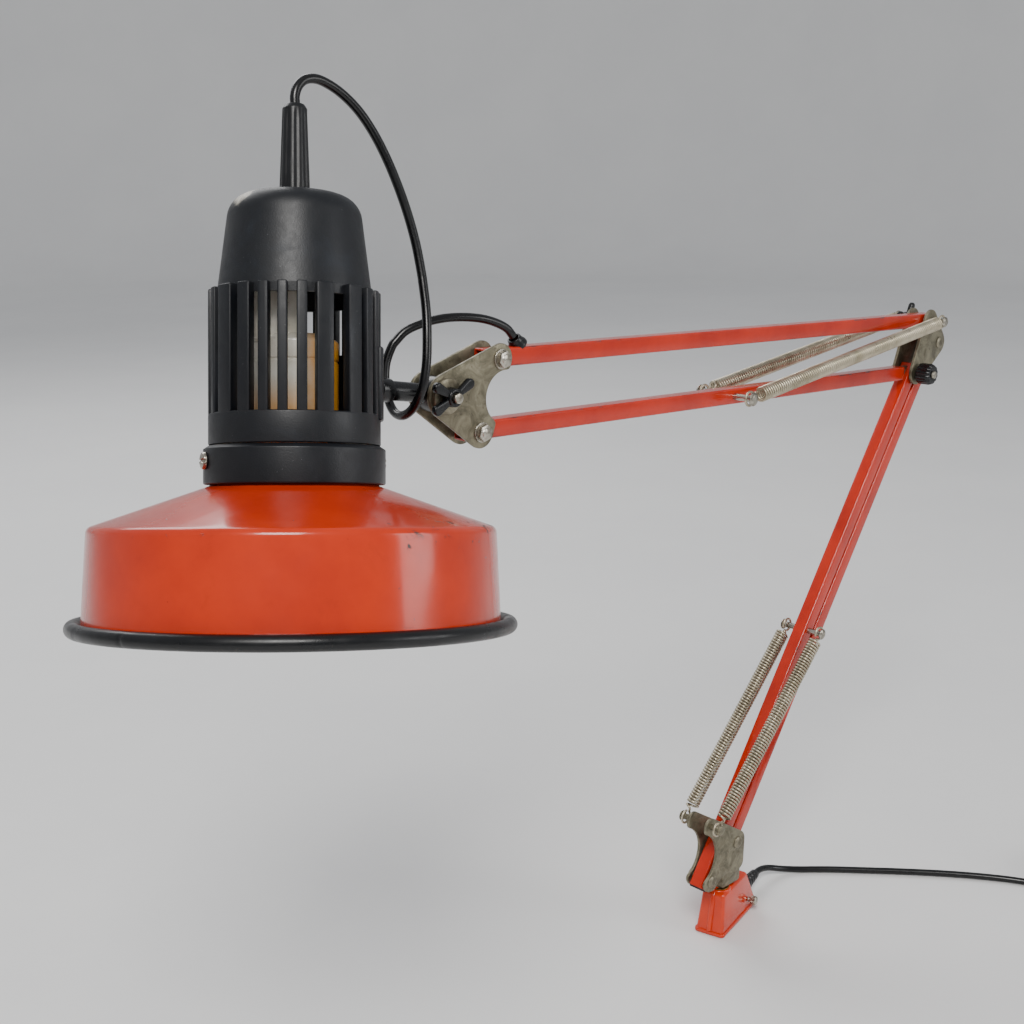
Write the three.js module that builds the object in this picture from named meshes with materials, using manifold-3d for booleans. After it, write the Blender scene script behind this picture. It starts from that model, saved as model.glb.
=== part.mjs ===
// Spring-balanced bench lamp with a vented lamp head on two parallelogram arms.
// Millimetres, +Z up. The origin is on the base swivel's axis at the foot's underside.
// The arms lie in the XZ plane: the head is towards -X, the elbow towards +X.
import * as THREE from 'three';
import { mergeVertices } from 'three/addons/utils/BufferGeometryUtils.js';
import Module from 'manifold-3d';

const wasm = await Module();
wasm.setup();

// ---------------------------------------------------------------- driving dimensions
const GAP = 0.3;                        // clearance between touching pieces
const TUBE = { side: 9.5, wall: 1.0, corner: 1.0, overhang: 7 };
const PLATE = { inner: 6.0, thickness: 2.0 };
const PIN_R = 2.5;                      // pivot pins and bolts
const PIN_HOLE_R = 2.8;
const SPRING_PIN_R = 2;

const LOWER_LENGTH = 382;
const LOWER_ANGLE = 55;                 // degrees above +X
const UPPER_LENGTH = 427.5;
const UPPER_ANGLE = 177.25;             // degrees, from the elbow towards the head

const BASE_PIVOT = [8, 62];             // rear tube's lower pivot, as [x, z]
const LOWER_LEVER = [27.24, 18.72];     // front pivot to rear pivot, at both ends
const UPPER_LEVER = [14, 35.5];         // bottom pivot to top pivot, at both ends

const FOOT = { length: 58, width: 20, height: 29, turn: 12.8, topStart: 5, topEnd: 43, draft: 2 };
const FOOT_BACK = 14;                   // foot's near end, measured back from the swivel axis
const SWIVEL_R = 4;

const LOWER_SPRING = { near: -13, far: 13, anchor: [-22, 84], reach: 181 };
const UPPER_SPRING = { near: -16, far: 18.5, reach: 211 };
const COIL_R = 4.75;
const WIRE_R = 0.8;
const HOOK_R = 4.2;                     // centre line of the spring's end loops
const HOOK_SHANK = 10;                  // pin centre to the first coil

const KNUCKLE_FROM_TOP_BOLT = [-38, -14];
const HEAD_TILT = 10.7;                 // degrees that the head's axis leans back to the arm
const HEAD_ROLL = -10.6;                // degrees about the stem
const STEM_LENGTH = 85.5;               // knuckle bolt to the head's own axis
const STEM_R = 4.75;

const HOUSING = {
  capTop: 83.5, capR: 28.8, shoulder: 11, skirtTop: 40.4, skirtR: 34.3,
  finR: 38.3, slotTop: 36.4, slotBottom: -14.4, bottom: -28.3, wall: 2.2,
  slots: 30, slotWidth: 4.1,
};
const COLLAR = { top: -29.2, bottom: -45.8, r: 40.5, wall: 3.2, screwZ: -35.5, screwAngles: [160, 340] };
const SHADE = {
  neckTop: -31, neckR: 36.9, coneTop: -46.4, creaseZ: -63.7, creaseR: 90.4,
  creaseRadius: 3.6, rimZ: -107.6, rimR: 92.4, lipR: 96, wall: 1.2,
};
const BEAD = { r: 96.2, z: -108.2, section: 3.5, slot: 1.9 };
const GLAND = { length: 41.3, baseR: 6.9, tipR: 5.6 };
const HOLDER = { top: 50, bottom: -14, r: 19.5, shoulder: 18, neckR: 13, bore: 12.2, boreEnd: 36 };
const BULB = { capR: 11.5, capLength: 24, glassR: 29, glassBottom: -88 };

const CORD_R = 2.25;
const FLEX_ENTRY = 407.6;               // from the elbow to where the flex enters the top tube
const FLEX_SLANT = 40;                  // degrees that its sleeve leans towards the head
const COIL = { centre: [244.6, -152.5], middleR: 26, bandWidth: 15, bandHeight: 19, cornerR: 5 };
const PLUG = {
  length: 34, width: 25, height: 13, bootLength: 22, bootTipR: 2.9, bootR: 4.6,
  pinR: 2, pinLength: 19, pinPitch: 19,
  fromCoil: [49.5, 23.5], turn: 70,     // its middle from the coil's, and degrees from +X
};

// ---------------------------------------------------------------- colours and finishes
const finish = (color, roughness, metalness) => ({ color, roughness, metalness });
const FINISH = {
  enamel: finish(0xc23a06, 0.3, 0.0),
  zinc: finish(0x8c8570, 0.45, 0.85),
  spring: finish(0x9a9384, 0.35, 0.95),
  bright: finish(0xb8b4aa, 0.3, 0.95),
  plastic: finish(0x1c2026, 0.5, 0.0),
  rubber: finish(0x141414, 0.7, 0.0),
  porcelain: finish(0xd9d5c8, 0.4, 0.0),
  amber: finish(0xd9701a, 0.15, 0.0),
  bronze: finish(0x8a6a3c, 0.4, 0.9),
  cord: finish(0x0e0e0f, 0.45, 0.0),
};

const lamp = new THREE.Group();
const head = new THREE.Group();

// ---------------------------------------------------------------- small helpers
const radians = THREE.MathUtils.degToRad;
const add = (a, b) => [a[0] + b[0], a[1] + b[1]];
const subtract = (a, b) => [a[0] - b[0], a[1] - b[1]];
const along = (angle, length) => [Math.cos(radians(angle)) * length, Math.sin(radians(angle)) * length];

// Welds a geometry to positions only, and drops triangles that have collapsed on an axis.
function weld(geometry) {
  geometry.deleteAttribute('normal');
  geometry.deleteAttribute('uv');
  const welded = mergeVertices(geometry, 1e-4);
  const index = welded.index.array;
  const kept = [];
  for (let i = 0; i < index.length; i += 3) {
    const [a, b, c] = [index[i], index[i + 1], index[i + 2]];
    if (a !== b && b !== c && a !== c) kept.push(a, b, c);
  }
  welded.setIndex(kept);
  return welded;
}

function toSolid(geometry) {
  const welded = weld(geometry);
  return new wasm.Manifold(new wasm.Mesh({
    numProp: 3,
    vertProperties: new Float32Array(welded.attributes.position.array),
    triVerts: new Uint32Array(welded.index.array),
  }));
}

function toGeometry(solid) {
  const mesh = solid.getMesh();
  const geometry = new THREE.BufferGeometry();
  geometry.setAttribute('position', new THREE.BufferAttribute(mesh.vertProperties, 3));
  geometry.setIndex(new THREE.BufferAttribute(mesh.triVerts, 1));
  return geometry;
}

function cut(geometry, ...tools) {
  return toGeometry(tools.reduce((solid, tool) => solid.subtract(toSolid(tool)), toSolid(geometry)));
}

function join(geometry, ...others) {
  return toGeometry(others.reduce((solid, other) => solid.add(toSolid(other)), toSolid(geometry)));
}

function piece(name, geometry, look, parent = lamp) {
  const flat = geometry.index ? geometry.toNonIndexed() : geometry;
  flat.computeVertexNormals();
  const mesh = new THREE.Mesh(flat, new THREE.MeshStandardMaterial(look));
  mesh.name = name;
  parent.add(mesh);
  return mesh;
}

// A turned piece about +Y, from [radius, height] points in counter-clockwise order.
function turnedY(points, segments = 18) {
  return new THREE.LatheGeometry(points.map(([r, h]) => new THREE.Vector2(r, h)), segments);
}

const turnedZ = (points, segments) => turnedY(points, segments).rotateX(Math.PI / 2);

const rodY = (x, z, r, y0, y1, segments = 16) => (
  new THREE.CylinderGeometry(r, r, y1 - y0, segments).translate(x, (y0 + y1) / 2, z)
);

const block = (x0, x1, y0, y1, z0, z1) => (
  new THREE.BoxGeometry(x1 - x0, y1 - y0, z1 - z0)
    .translate((x0 + x1) / 2, (y0 + y1) / 2, (z0 + z1) / 2)
);

// An arc of [r, h] points, for a turned profile.
function arc(r, h, radius, from, to, steps) {
  return Array.from({ length: steps + 1 }, (_, i) => (
    add([r, h], along(from + (to - from) * i / steps, radius))
  ));
}

// Convex outline round a set of {at, r} lobes, as points in order.
function lobedOutline(lobes, steps = 20) {
  const points = lobes.flatMap(({ at, r }) => (
    Array.from({ length: steps }, (_, i) => add(at, along(360 * i / steps, r)))
  ));
  points.sort((a, b) => a[0] - b[0] || a[1] - b[1]);
  const turn = (o, a, b) => (a[0] - o[0]) * (b[1] - o[1]) - (a[1] - o[1]) * (b[0] - o[0]);
  const chain = (list) => {
    const hull = [];
    for (const point of list) {
      while (hull.length > 1 && turn(hull.at(-2), hull.at(-1), point) <= 0) hull.pop();
      hull.push(point);
    }
    return hull.slice(0, -1);
  };
  return [...chain(points), ...chain([...points].reverse())];
}

// A flat plate in the XZ plane, from its outline and round holes as {at, r}.
function plateXZ(outline, holes, thickness, yMiddle) {
  const shape = new THREE.Shape(outline.map(([x, z]) => new THREE.Vector2(x, z)));
  for (const { at, r } of holes) {
    shape.holes.push(new THREE.Path().absarc(at[0], at[1], r, 0, Math.PI * 2, true));
  }
  return new THREE.ExtrudeGeometry(shape, { depth: thickness, bevelEnabled: false, curveSegments: 6 })
    .rotateX(Math.PI / 2)
    .translate(0, yMiddle + thickness / 2, 0);
}

// A pair of pressed plates, near (-Y) and far (+Y), with the same outline, cuts and holes.
function platePair(name, lobes, holes, bites, studs = () => []) {
  const middle = PLATE.inner + PLATE.thickness / 2;
  for (const [side, sign] of [['near', -1], ['far', 1]]) {
    const y = sign * middle;
    const blank = plateXZ(lobedOutline(lobes), holes, PLATE.thickness, y);
    const tools = bites.map(({ at, r }) => (
      rodY(at[0], at[1], r, y - PLATE.thickness, y + PLATE.thickness, 32)
    ));
    piece(`${name}_${side}`, join(cut(blank, ...tools), ...studs(sign)), FINISH.zinc);
  }
}

// A pin along Y through [x, z], with a domed head at each end that has one.
function pinY([x, z], y0, y1, headNear, headFar, r = PIN_R) {
  const profile = [[0, y0 - headNear.height]];
  if (headNear.height) profile.push([headNear.r * 0.75, y0 - headNear.height], [headNear.r, y0]);
  else profile.push([r, y0]);
  if (headNear.height) profile.push([r, y0]);
  profile.push([r, y1]);
  if (headFar.height) profile.push([headFar.r, y1], [headFar.r * 0.75, y1 + headFar.height]);
  profile.push([0, y1 + headFar.height]);
  return turnedY(profile, 14).translate(x, 0, z);
}

const NO_HEAD = { r: 0, height: 0 };
const RIVET = { r: 4.2, height: 1.4 };
const PLATE_OUT = PLATE.inner + PLATE.thickness + GAP;

// ---------------------------------------------------------------- the linkage's pivots
const baseRear = BASE_PIVOT;
const baseFront = subtract(baseRear, LOWER_LEVER);
const elbowRear = add(baseRear, along(LOWER_ANGLE, LOWER_LENGTH));
const elbowBottom = subtract(elbowRear, LOWER_LEVER);
const elbowTop = add(elbowBottom, UPPER_LEVER);
const headTop = add(elbowTop, along(UPPER_ANGLE, UPPER_LENGTH));
const headBottom = subtract(headTop, UPPER_LEVER);
const knuckle = add(headTop, KNUCKLE_FROM_TOP_BOLT);

// ---------------------------------------------------------------- foot and swivel
// A cast wedge: a steep near end, drafted sides and a long slope down to the far end.
function makeFoot() {
  const { length, width, height, topStart, topEnd, draft } = FOOT;
  const x0 = -FOOT_BACK;
  const corner = (x, y, z) => new THREE.Vector3(x, y, z);
  const half = width / 2;
  const bottom = [
    corner(x0, -half, 0), corner(x0 + length, -half, 0),
    corner(x0 + length, half, 0), corner(x0, half, 0),
  ];
  const top = [
    corner(x0 + topStart, -half + draft, height), corner(x0 + topEnd, -half + draft, height),
    corner(x0 + topEnd, half - draft, height), corner(x0 + topStart, half - draft, height),
  ];
  const quad = (a, b, c, d) => [a, b, c, a, c, d];
  const faces = [
    ...quad(bottom[3], bottom[2], bottom[1], bottom[0]),
    ...quad(top[0], top[1], top[2], top[3]),
    ...bottom.flatMap((_, i) => {
      const j = (i + 1) % 4;
      return quad(bottom[i], bottom[j], top[j], top[i]);
    }),
  ];
  const geometry = new THREE.BufferGeometry().setFromPoints(faces);
  const socket = new THREE.CylinderGeometry(5.6, 5.6, height, 24).rotateX(Math.PI / 2)
    .translate(0, 0, height / 2 + 5);
  const cordHole = new THREE.CylinderGeometry(3.6, 3.6, 16, 16).rotateZ(Math.PI / 2)
    .translate(x0 + length - 8, 0, 9);
  const casting = piece('foot_casting', cut(geometry, socket, cordHole), FINISH.enamel);
  casting.rotation.z = radians(FOOT.turn);

  const bush = [[SWIVEL_R + GAP, 6], [5.3, 6], [5.3, height + GAP], [6.6, height + GAP],
    [6.6, height + 1.3], [SWIVEL_R + GAP, height + 1.3]];
  piece('swivel_bush', turnedZ([...bush, bush[0]], 20), FINISH.bronze);

  const screw = [[0, 0], [1.6, 0], [1.6, 2], [3, 2], [3, 5.4], [2.4, 6], [0, 6]];
  const lock = piece('swivel_lock_screw', turnedY(screw, 14), FINISH.plastic);
  lock.geometry.rotateX(Math.PI);
  lock.rotation.z = radians(FOOT.turn);
  lock.position.set(...turnedPoint(29, -half - GAP + 0.4, 8.5));
}

// A point given in the foot's own turned frame, in the lamp's frame.
function turnedPoint(x, y, z) {
  const p = new THREE.Vector3(x, y, z).applyAxisAngle(new THREE.Vector3(0, 0, 1), radians(FOOT.turn));
  return [p.x, p.y, p.z];
}

// ---------------------------------------------------------------- base bracket
const BASE_LOBES = [
  { at: baseRear, r: 8 }, { at: baseFront, r: 7.5 },
  { at: LOWER_SPRING.anchor, r: 5.5 }, { at: [10.5, 46], r: 5 },
];
const BASE_BITES = [{ at: [-3, 27.5], r: 15 }, { at: [-34, 62], r: 19 }];

// The lower springs hook on a headed stud riveted into each plate's horn. It stays on its own
// side, so the front tube can pass between the horns.
function springStud(sign) {
  const [x, z] = LOWER_SPRING.anchor;
  const root = PLATE.inner + 1;
  const tip = LOWER_SPRING.far + 2.2;
  const stud = turnedY([[0, root], [SPRING_PIN_R, root], [SPRING_PIN_R, tip], [3.4, tip],
    [2.6, tip + 1.2], [0, tip + 1.2]], 14);
  return [(sign < 0 ? stud.rotateX(Math.PI) : stud).translate(x, 0, z)];
}

function makeBaseBracket() {
  const pivots = [baseRear, baseFront].map((at) => ({ at, r: PIN_R + 0.2 }));
  platePair('base_plate', BASE_LOBES, pivots, BASE_BITES, springStud);

  const reach = PLATE_OUT - GAP;
  piece('base_pivot_pin_rear', pinY(baseRear, -reach, reach, RIVET, RIVET), FINISH.zinc);
  piece('base_pivot_pin_front', pinY(baseFront, -reach, reach, RIVET, RIVET), FINISH.zinc);

  const web = block(-4, 15, -PLATE.inner + GAP, PLATE.inner - GAP, FOOT.height + 2, 50.5);
  const pin = new THREE.CylinderGeometry(SWIVEL_R, SWIVEL_R, FOOT.height - 2, 24).rotateX(Math.PI / 2)
    .translate(0, 0, 7 + (FOOT.height - 2) / 2);
  piece('swivel_post', join(web, pin), FINISH.zinc);
}

// ---------------------------------------------------------------- square arm tubes
function squareOutline(half, corner) {
  const shape = new THREE.Shape();
  const inner = half - corner;
  const corners = [[inner, inner, 0], [-inner, inner, 90], [-inner, -inner, 180], [inner, -inner, 270]];
  const points = corners.flatMap(([x, y, from]) => arc(x, y, corner, from, from + 90, 2));
  shape.setFromPoints(points.map(([x, y]) => new THREE.Vector2(x, y)));
  return shape;
}

// A tube along local +X from x0 to x1, with cross holes through its near and far walls.
function tubeGeometry(x0, x1, holes) {
  const half = TUBE.side / 2;
  const shape = squareOutline(half, TUBE.corner);
  const bore = squareOutline(half - TUBE.wall, TUBE.corner * 0.4);
  shape.holes.push(bore);
  const tube = new THREE.ExtrudeGeometry(shape, { depth: x1 - x0, bevelEnabled: false })
    .rotateY(Math.PI / 2)
    .translate(x0, 0, 0);
  return cut(tube, ...holes.map(({ x, r }) => rodY(x, 0, r, -half - 1, half + 1, 12)));
}

function placeOnArm(mesh, [x, z], angle) {
  mesh.position.set(x, 0, z);
  mesh.rotation.y = -radians(angle);
}

function makeLowerArm() {
  const end = LOWER_LENGTH + TUBE.overhang;
  const pivots = [{ x: 0, r: PIN_HOLE_R }, { x: LOWER_LENGTH, r: PIN_HOLE_R }];
  const rear = piece('lower_tube_rear', tubeGeometry(-TUBE.overhang, end, pivots), FINISH.enamel);
  placeOnArm(rear, baseRear, LOWER_ANGLE);

  // The front tube ends in a fork at the elbow: two ears, one each side of the tongue.
  const springHole = { x: LOWER_SPRING.reach, r: SPRING_PIN_R + 0.3 };
  const straight = tubeGeometry(-TUBE.overhang, LOWER_LENGTH + 5, [...pivots, springHole]);
  const inside = TUBE.side / 2 - TUBE.wall;
  const slot = block(LOWER_LENGTH - 14, LOWER_LENGTH + 9, -inside, inside, -TUBE.side, TUBE.side);
  const front = piece('lower_tube_front', cut(straight, slot), FINISH.enamel);
  placeOnArm(front, baseFront, LOWER_ANGLE);

  const at = add(baseFront, along(LOWER_ANGLE, LOWER_SPRING.reach));
  const reach = LOWER_SPRING.far + 2.2;
  const tip = { r: 3.6, height: 1.4 };
  piece('lower_spring_pin', pinY(at, -reach, reach, tip, tip, SPRING_PIN_R), FINISH.bright);
}

function makeUpperArm() {
  const pivots = [{ x: 0, r: PIN_HOLE_R }, { x: UPPER_LENGTH, r: PIN_HOLE_R }];
  const end = UPPER_LENGTH + TUBE.overhang;
  const flexHole = new THREE.CylinderGeometry(3.7, 3.7, 9, 14).rotateX(Math.PI / 2)
    .rotateY(-radians(FLEX_SLANT)).translate(FLEX_ENTRY, 0, -TUBE.side / 2);
  const top = piece('upper_tube_top', cut(tubeGeometry(-TUBE.overhang, end, pivots), flexHole),
    FINISH.enamel);
  placeOnArm(top, elbowTop, UPPER_ANGLE);

  // The bottom tube stops short of the elbow bolt and holds a flat tongue that reaches it.
  const springHole = { x: UPPER_SPRING.reach, r: SPRING_PIN_R + 0.3 };
  const bottom = piece('upper_tube_bottom', tubeGeometry(12.5, end, [pivots[1], springHole]),
    FINISH.enamel);
  placeOnArm(bottom, elbowBottom, UPPER_ANGLE);
  const bar = plateXZ(lobedOutline([{ at: [0, 0], r: 4.6 }, { at: [36, 2.4], r: 1 }, { at: [36, -2.4], r: 1 }]),
    [{ at: [0, 0], r: PIN_HOLE_R }], 3, 0);
  const trimmed = cut(bar, block(6, 40, -3, 3, 3.4, 9), block(6, 40, -3, 3, -9, -3.4));
  placeOnArm(piece('upper_tube_tongue', trimmed, FINISH.zinc), elbowBottom, UPPER_ANGLE);

  const at = add(elbowBottom, along(UPPER_ANGLE, UPPER_SPRING.reach));
  const tip = { r: 4.2, height: 2 };
  piece('upper_spring_pin', pinY(at, UPPER_SPRING.near - 2.2, UPPER_SPRING.far + 2.2, tip, tip,
    SPRING_PIN_R), FINISH.bright);
}

// ---------------------------------------------------------------- elbow
function makeElbow() {
  const lobes = [{ at: elbowTop, r: 8 }, { at: elbowRear, r: 8 }, { at: elbowBottom, r: 8.5 }];
  const holes = [elbowTop, elbowRear, elbowBottom].map((at) => ({ at, r: PIN_R + 0.2 }));
  platePair('elbow_plate', lobes, holes, []);

  const reach = PLATE_OUT - GAP;
  piece('elbow_pivot_pin', pinY(elbowRear, -reach, reach, RIVET, RIVET), FINISH.zinc);
  const hookHead = { r: 3.6, height: 1.6 };
  piece('elbow_top_bolt', pinY(elbowTop, UPPER_SPRING.near - 2.2, UPPER_SPRING.far + 2.2,
    hookHead, hookHead), FINISH.bright);
  const nutHead = { r: 4.6, height: 3.4 };
  piece('elbow_knob_bolt', pinY(elbowBottom, -22, reach + GAP, NO_HEAD, nutHead), FINISH.bright);

  const knob = [[PIN_R + GAP, -20.4], [5.4, -20.4], [7, -19], [7.4, -10.4], [5, -9], [PIN_R + GAP, -9]];
  const round = piece('elbow_knob', turnedY([...knob, knob[0]], 20), FINISH.plastic);
  round.position.set(elbowBottom[0], 0, elbowBottom[1]);

  const wings = wingNut({ hub: 5, width: 5, reach: 12.5, rise: 38, height: 5 });
  const nut = piece('elbow_wing_nut', wings, FINISH.plastic);
  nut.position.set(elbowTop[0], PLATE_OUT + GAP, elbowTop[1]);
  nut.rotation.y = radians(-18);
}

// A two-winged nut about local +Y, its back face at y = 0. rise lifts both wings into a V.
function wingNut({ hub, width, reach, rise, height }) {
  const core = turnedY([[0, 0], [hub, 0], [hub * 0.85, height], [0, height]], 16);
  const wing = (angle) => {
    const tip = along(angle, reach - width / 2);
    return plateXZ(lobedOutline([{ at: [0, 0], r: width * 0.35 }, { at: tip, r: width / 2 }], 14),
      [], height * 0.55, height * 0.6);
  };
  const bolt = rodY(0, 0, PIN_R + GAP, -1, height + 1);
  return cut(join(core, wing(rise), wing(180 - rise)), bolt);
}

// ---------------------------------------------------------------- balance springs
// A spring in its own frame: +X from its root pin to its tip pin, wound between two loops.
function makeSpring(name, hookName, y, root, tip) {
  const [dx, dz] = subtract(tip, root);
  const length = Math.hypot(dx, dz);
  const angle = THREE.MathUtils.radToDeg(Math.atan2(dz, dx));
  const loop = (x) => turnedY(arc(HOOK_R, 0, WIRE_R, 0, 360, 6), 14).translate(x, 0, 0);
  const shank = (x0, x1) => new THREE.CylinderGeometry(WIRE_R, WIRE_R, x1 - x0, 6)
    .rotateZ(Math.PI / 2).translate((x0 + x1) / 2, 0, 0);
  const coil = new THREE.CylinderGeometry(COIL_R, COIL_R, length - 2 * HOOK_SHANK, 12)
    .rotateZ(Math.PI / 2).translate(length / 2, 0, 0);
  const body = piece(name, join(loop(0), shank(HOOK_R, HOOK_SHANK + 1), coil), FINISH.spring);
  const end = join(loop(0), shank(-HOOK_SHANK + GAP, -HOOK_R));
  const hook = piece(hookName, end, FINISH.spring);
  for (const [mesh, [x, z]] of [[body, root], [hook, tip]]) {
    mesh.position.set(x, y, z);
    mesh.rotation.y = -radians(angle);
  }
}

function makeSprings() {
  const lowerTip = add(baseFront, along(LOWER_ANGLE, LOWER_SPRING.reach));
  const upperTip = add(elbowBottom, along(UPPER_ANGLE, UPPER_SPRING.reach));
  for (const side of ['near', 'far']) {
    makeSpring(`lower_spring_${side}`, `lower_spring_hook_${side}`, LOWER_SPRING[side],
      LOWER_SPRING.anchor, lowerTip);
    makeSpring(`upper_spring_${side}`, `upper_spring_hook_${side}`, UPPER_SPRING[side],
      elbowTop, upperTip);
  }
}

// ---------------------------------------------------------------- head bracket
function makeHeadBracket() {
  const lobes = [{ at: knuckle, r: 11 }, { at: headTop, r: 8 }, { at: headBottom, r: 8.5 }];
  const holes = [knuckle, headTop, headBottom].map((at) => ({ at, r: PIN_R + 0.2 }));
  const bite = { at: add(headTop, [3, -19.5]), r: 13.6 };
  platePair('head_cheek', lobes, holes, [bite]);

  const hexBolt = (at) => {
    const shank = rodY(at[0], at[1], PIN_R, -PLATE_OUT + 0.1, PLATE_OUT + 3, 20);
    const hexHead = rodY(at[0], at[1], 4.6, -PLATE_OUT - 3.2, -PLATE_OUT + 0.1, 6);
    const hexNut = rodY(at[0], at[1], 4.6, PLATE_OUT, PLATE_OUT + 3.6, 6);
    return join(shank, hexHead, hexNut);
  };
  piece('head_bolt_top', hexBolt(headTop), FINISH.bright);
  piece('head_bolt_bottom', hexBolt(headBottom), FINISH.bright);

  const disc = (y0, y1, r) => plateXZ(lobedOutline([{ at: knuckle, r }]),
    [{ at: knuckle, r: PIN_R + 0.2 }], y1 - y0, (y0 + y1) / 2);
  piece('friction_washer_near', disc(-PLATE_OUT - 2.2, -PLATE_OUT, 9), FINISH.zinc);
  const square = { r: 4.8, height: 3 };
  piece('knuckle_bolt', pinY(knuckle, -26, PLATE_OUT, NO_HEAD, square), FINISH.bright);

  const wings = wingNut({ hub: 6, width: 7, reach: 15, rise: 24, height: 11 });
  wings.rotateX(Math.PI);
  const nut = piece('head_wing_nut', wings, FINISH.plastic);
  nut.position.set(knuckle[0], -PLATE_OUT - 2.2 - GAP, knuckle[1]);
  nut.rotation.y = Math.PI;
}

// ---------------------------------------------------------------- lamp head
// The head's own frame: origin at the knuckle bolt, +Z along the shade's axis upwards, and the
// shade's axis at x = -STEM_LENGTH.
function makeStem() {
  const eye = rodY(0, 0, 9, -5, 5, 28);
  const rod = new THREE.CylinderGeometry(STEM_R, STEM_R, 38, 24).rotateZ(Math.PI / 2)
    .translate(-24, 0, 0);
  const tail = new THREE.CylinderGeometry(3, 3, 14, 20).rotateZ(Math.PI / 2).translate(-49, 0, 0);
  const swagedEnd = new THREE.CylinderGeometry(5, 4.4, 2.4, 20).rotateZ(Math.PI / 2)
    .translate(-55.6, 0, 0);
  const bolt = rodY(0, 0, PIN_HOLE_R, -6, 6);
  piece('stem', cut(join(eye, rod, tail, swagedEnd), bolt), FINISH.plastic, head);
}

const onAxis = (geometry) => geometry.translate(-STEM_LENGTH, 0, 0);

function makeHousing() {
  const h = HOUSING;
  const capEdge = h.capR - h.shoulder;
  const outside = [
    [h.finR, h.bottom], [h.finR, h.skirtTop - 1], [h.finR - 1, h.skirtTop],
    [h.skirtR, h.skirtTop], ...arc(capEdge, h.capTop - h.shoulder, h.shoulder, 0, 90, 4),
  ];
  const innerTop = h.capTop - h.wall;
  const inside = [
    [GLAND.baseR - 2.2, h.capTop], [GLAND.baseR - 2.2, innerTop], [capEdge, innerTop],
    [h.capR - h.wall, innerTop - h.shoulder], [h.skirtR - h.wall, h.skirtTop],
    [h.finR - h.wall - 0.6, h.skirtTop - 4], [h.finR - h.wall - 0.6, h.bottom],
  ];
  const profile = [...outside, ...inside];
  const shell = turnedZ([...profile, profile[0]], h.slots);
  const slots = Array.from({ length: h.slots }, (_, i) => (
    block(h.finR - 8, h.finR + 4, -h.slotWidth / 2, h.slotWidth / 2, h.slotBottom, h.slotTop)
      .rotateZ(Math.PI * 2 * (i + 0.5) / h.slots)
  ));
  const boss = block(h.finR - 6.5, h.finR + 3, -7, 7, -11, 18);
  const stemHole = new THREE.CylinderGeometry(3.3, 3.3, 20, 20).rotateZ(Math.PI / 2)
    .translate(h.finR, 0, 0);
  const openSlots = slots.reduce((solid, slot) => solid.subtract(toSolid(slot)), toSolid(shell));
  const housing = openSlots.add(toSolid(boss)).subtract(toSolid(stemHole));
  return piece('vent_housing', onAxis(toGeometry(housing)), FINISH.plastic, head);
}

function makeCollar() {
  const c = COLLAR;
  const profile = [
    [c.r - c.wall, c.bottom], [c.r - 0.6, c.bottom], [c.r, c.bottom + 0.6], [c.r, c.top - 0.8],
    [c.r - 0.8, c.top], [c.r - c.wall, c.top],
  ];
  const ring = cut(turnedZ([...profile, profile[0]], 40), ...screwHoles());
  piece('collar_ring', onAxis(ring), FINISH.plastic, head);
  c.screwAngles.forEach((angle, i) => {
    const screw = turnedY([[0, -7], [1.9, -7], [1.9, 1.5], [4, 1.5], [3.4, 3.6], [0, 4]], 12)
      .rotateZ(-Math.PI / 2).translate(c.r - 1.4, 0, c.screwZ).rotateZ(radians(angle));
    piece(`collar_screw_${i + 1}`, onAxis(screw), FINISH.bright, head);
  });
}

// The screws' holes, which go through the collar and the shade's neck alike.
function screwHoles() {
  return COLLAR.screwAngles.map((angle) => (
    new THREE.CylinderGeometry(2.2, 2.2, 12, 10).rotateZ(Math.PI / 2)
      .translate(COLLAR.r - 1.4, 0, COLLAR.screwZ).rotateZ(radians(angle))
  ));
}

// The outside of the shade's sheet, from the neck down to the lip, offset inwards by inset.
function shadeLine(inset) {
  const s = SHADE;
  const slope = Math.atan2(s.coneTop - s.creaseZ, s.creaseR - s.neckR) * 180 / Math.PI;
  const bend = s.creaseRadius;
  return [
    [s.neckR - inset, s.neckTop], [s.neckR - inset, s.coneTop - inset * 0.6],
    ...arc(s.creaseR - bend, s.creaseZ - bend, bend - inset, 90 - slope, 3, 2),
    [s.rimR - inset, s.rimZ - (inset ? inset : 0)],
    [s.lipR, s.rimZ - (inset ? inset : 0)],
  ];
}

function makeShade() {
  const profile = [...shadeLine(SHADE.wall), ...shadeLine(0).reverse()];
  const shell = cut(turnedZ([...profile, profile[0]], 44), ...screwHoles());
  piece('shade', onAxis(shell), FINISH.enamel, head);

  const b = BEAD;
  const lip = Math.asin(b.slot / 2 / b.section) * 180 / Math.PI;
  const bead = [
    ...arc(b.r, b.z, b.section, 180 + lip, 540 - lip, 6),
    [b.r + 0.6, b.z + b.slot / 2], [b.r + 0.6, b.z - b.slot / 2],
  ];
  const ring = turnedZ([...bead, bead[0]], 44);
  piece('rim_bead', onAxis(ring), FINISH.rubber, head);
}

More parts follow.
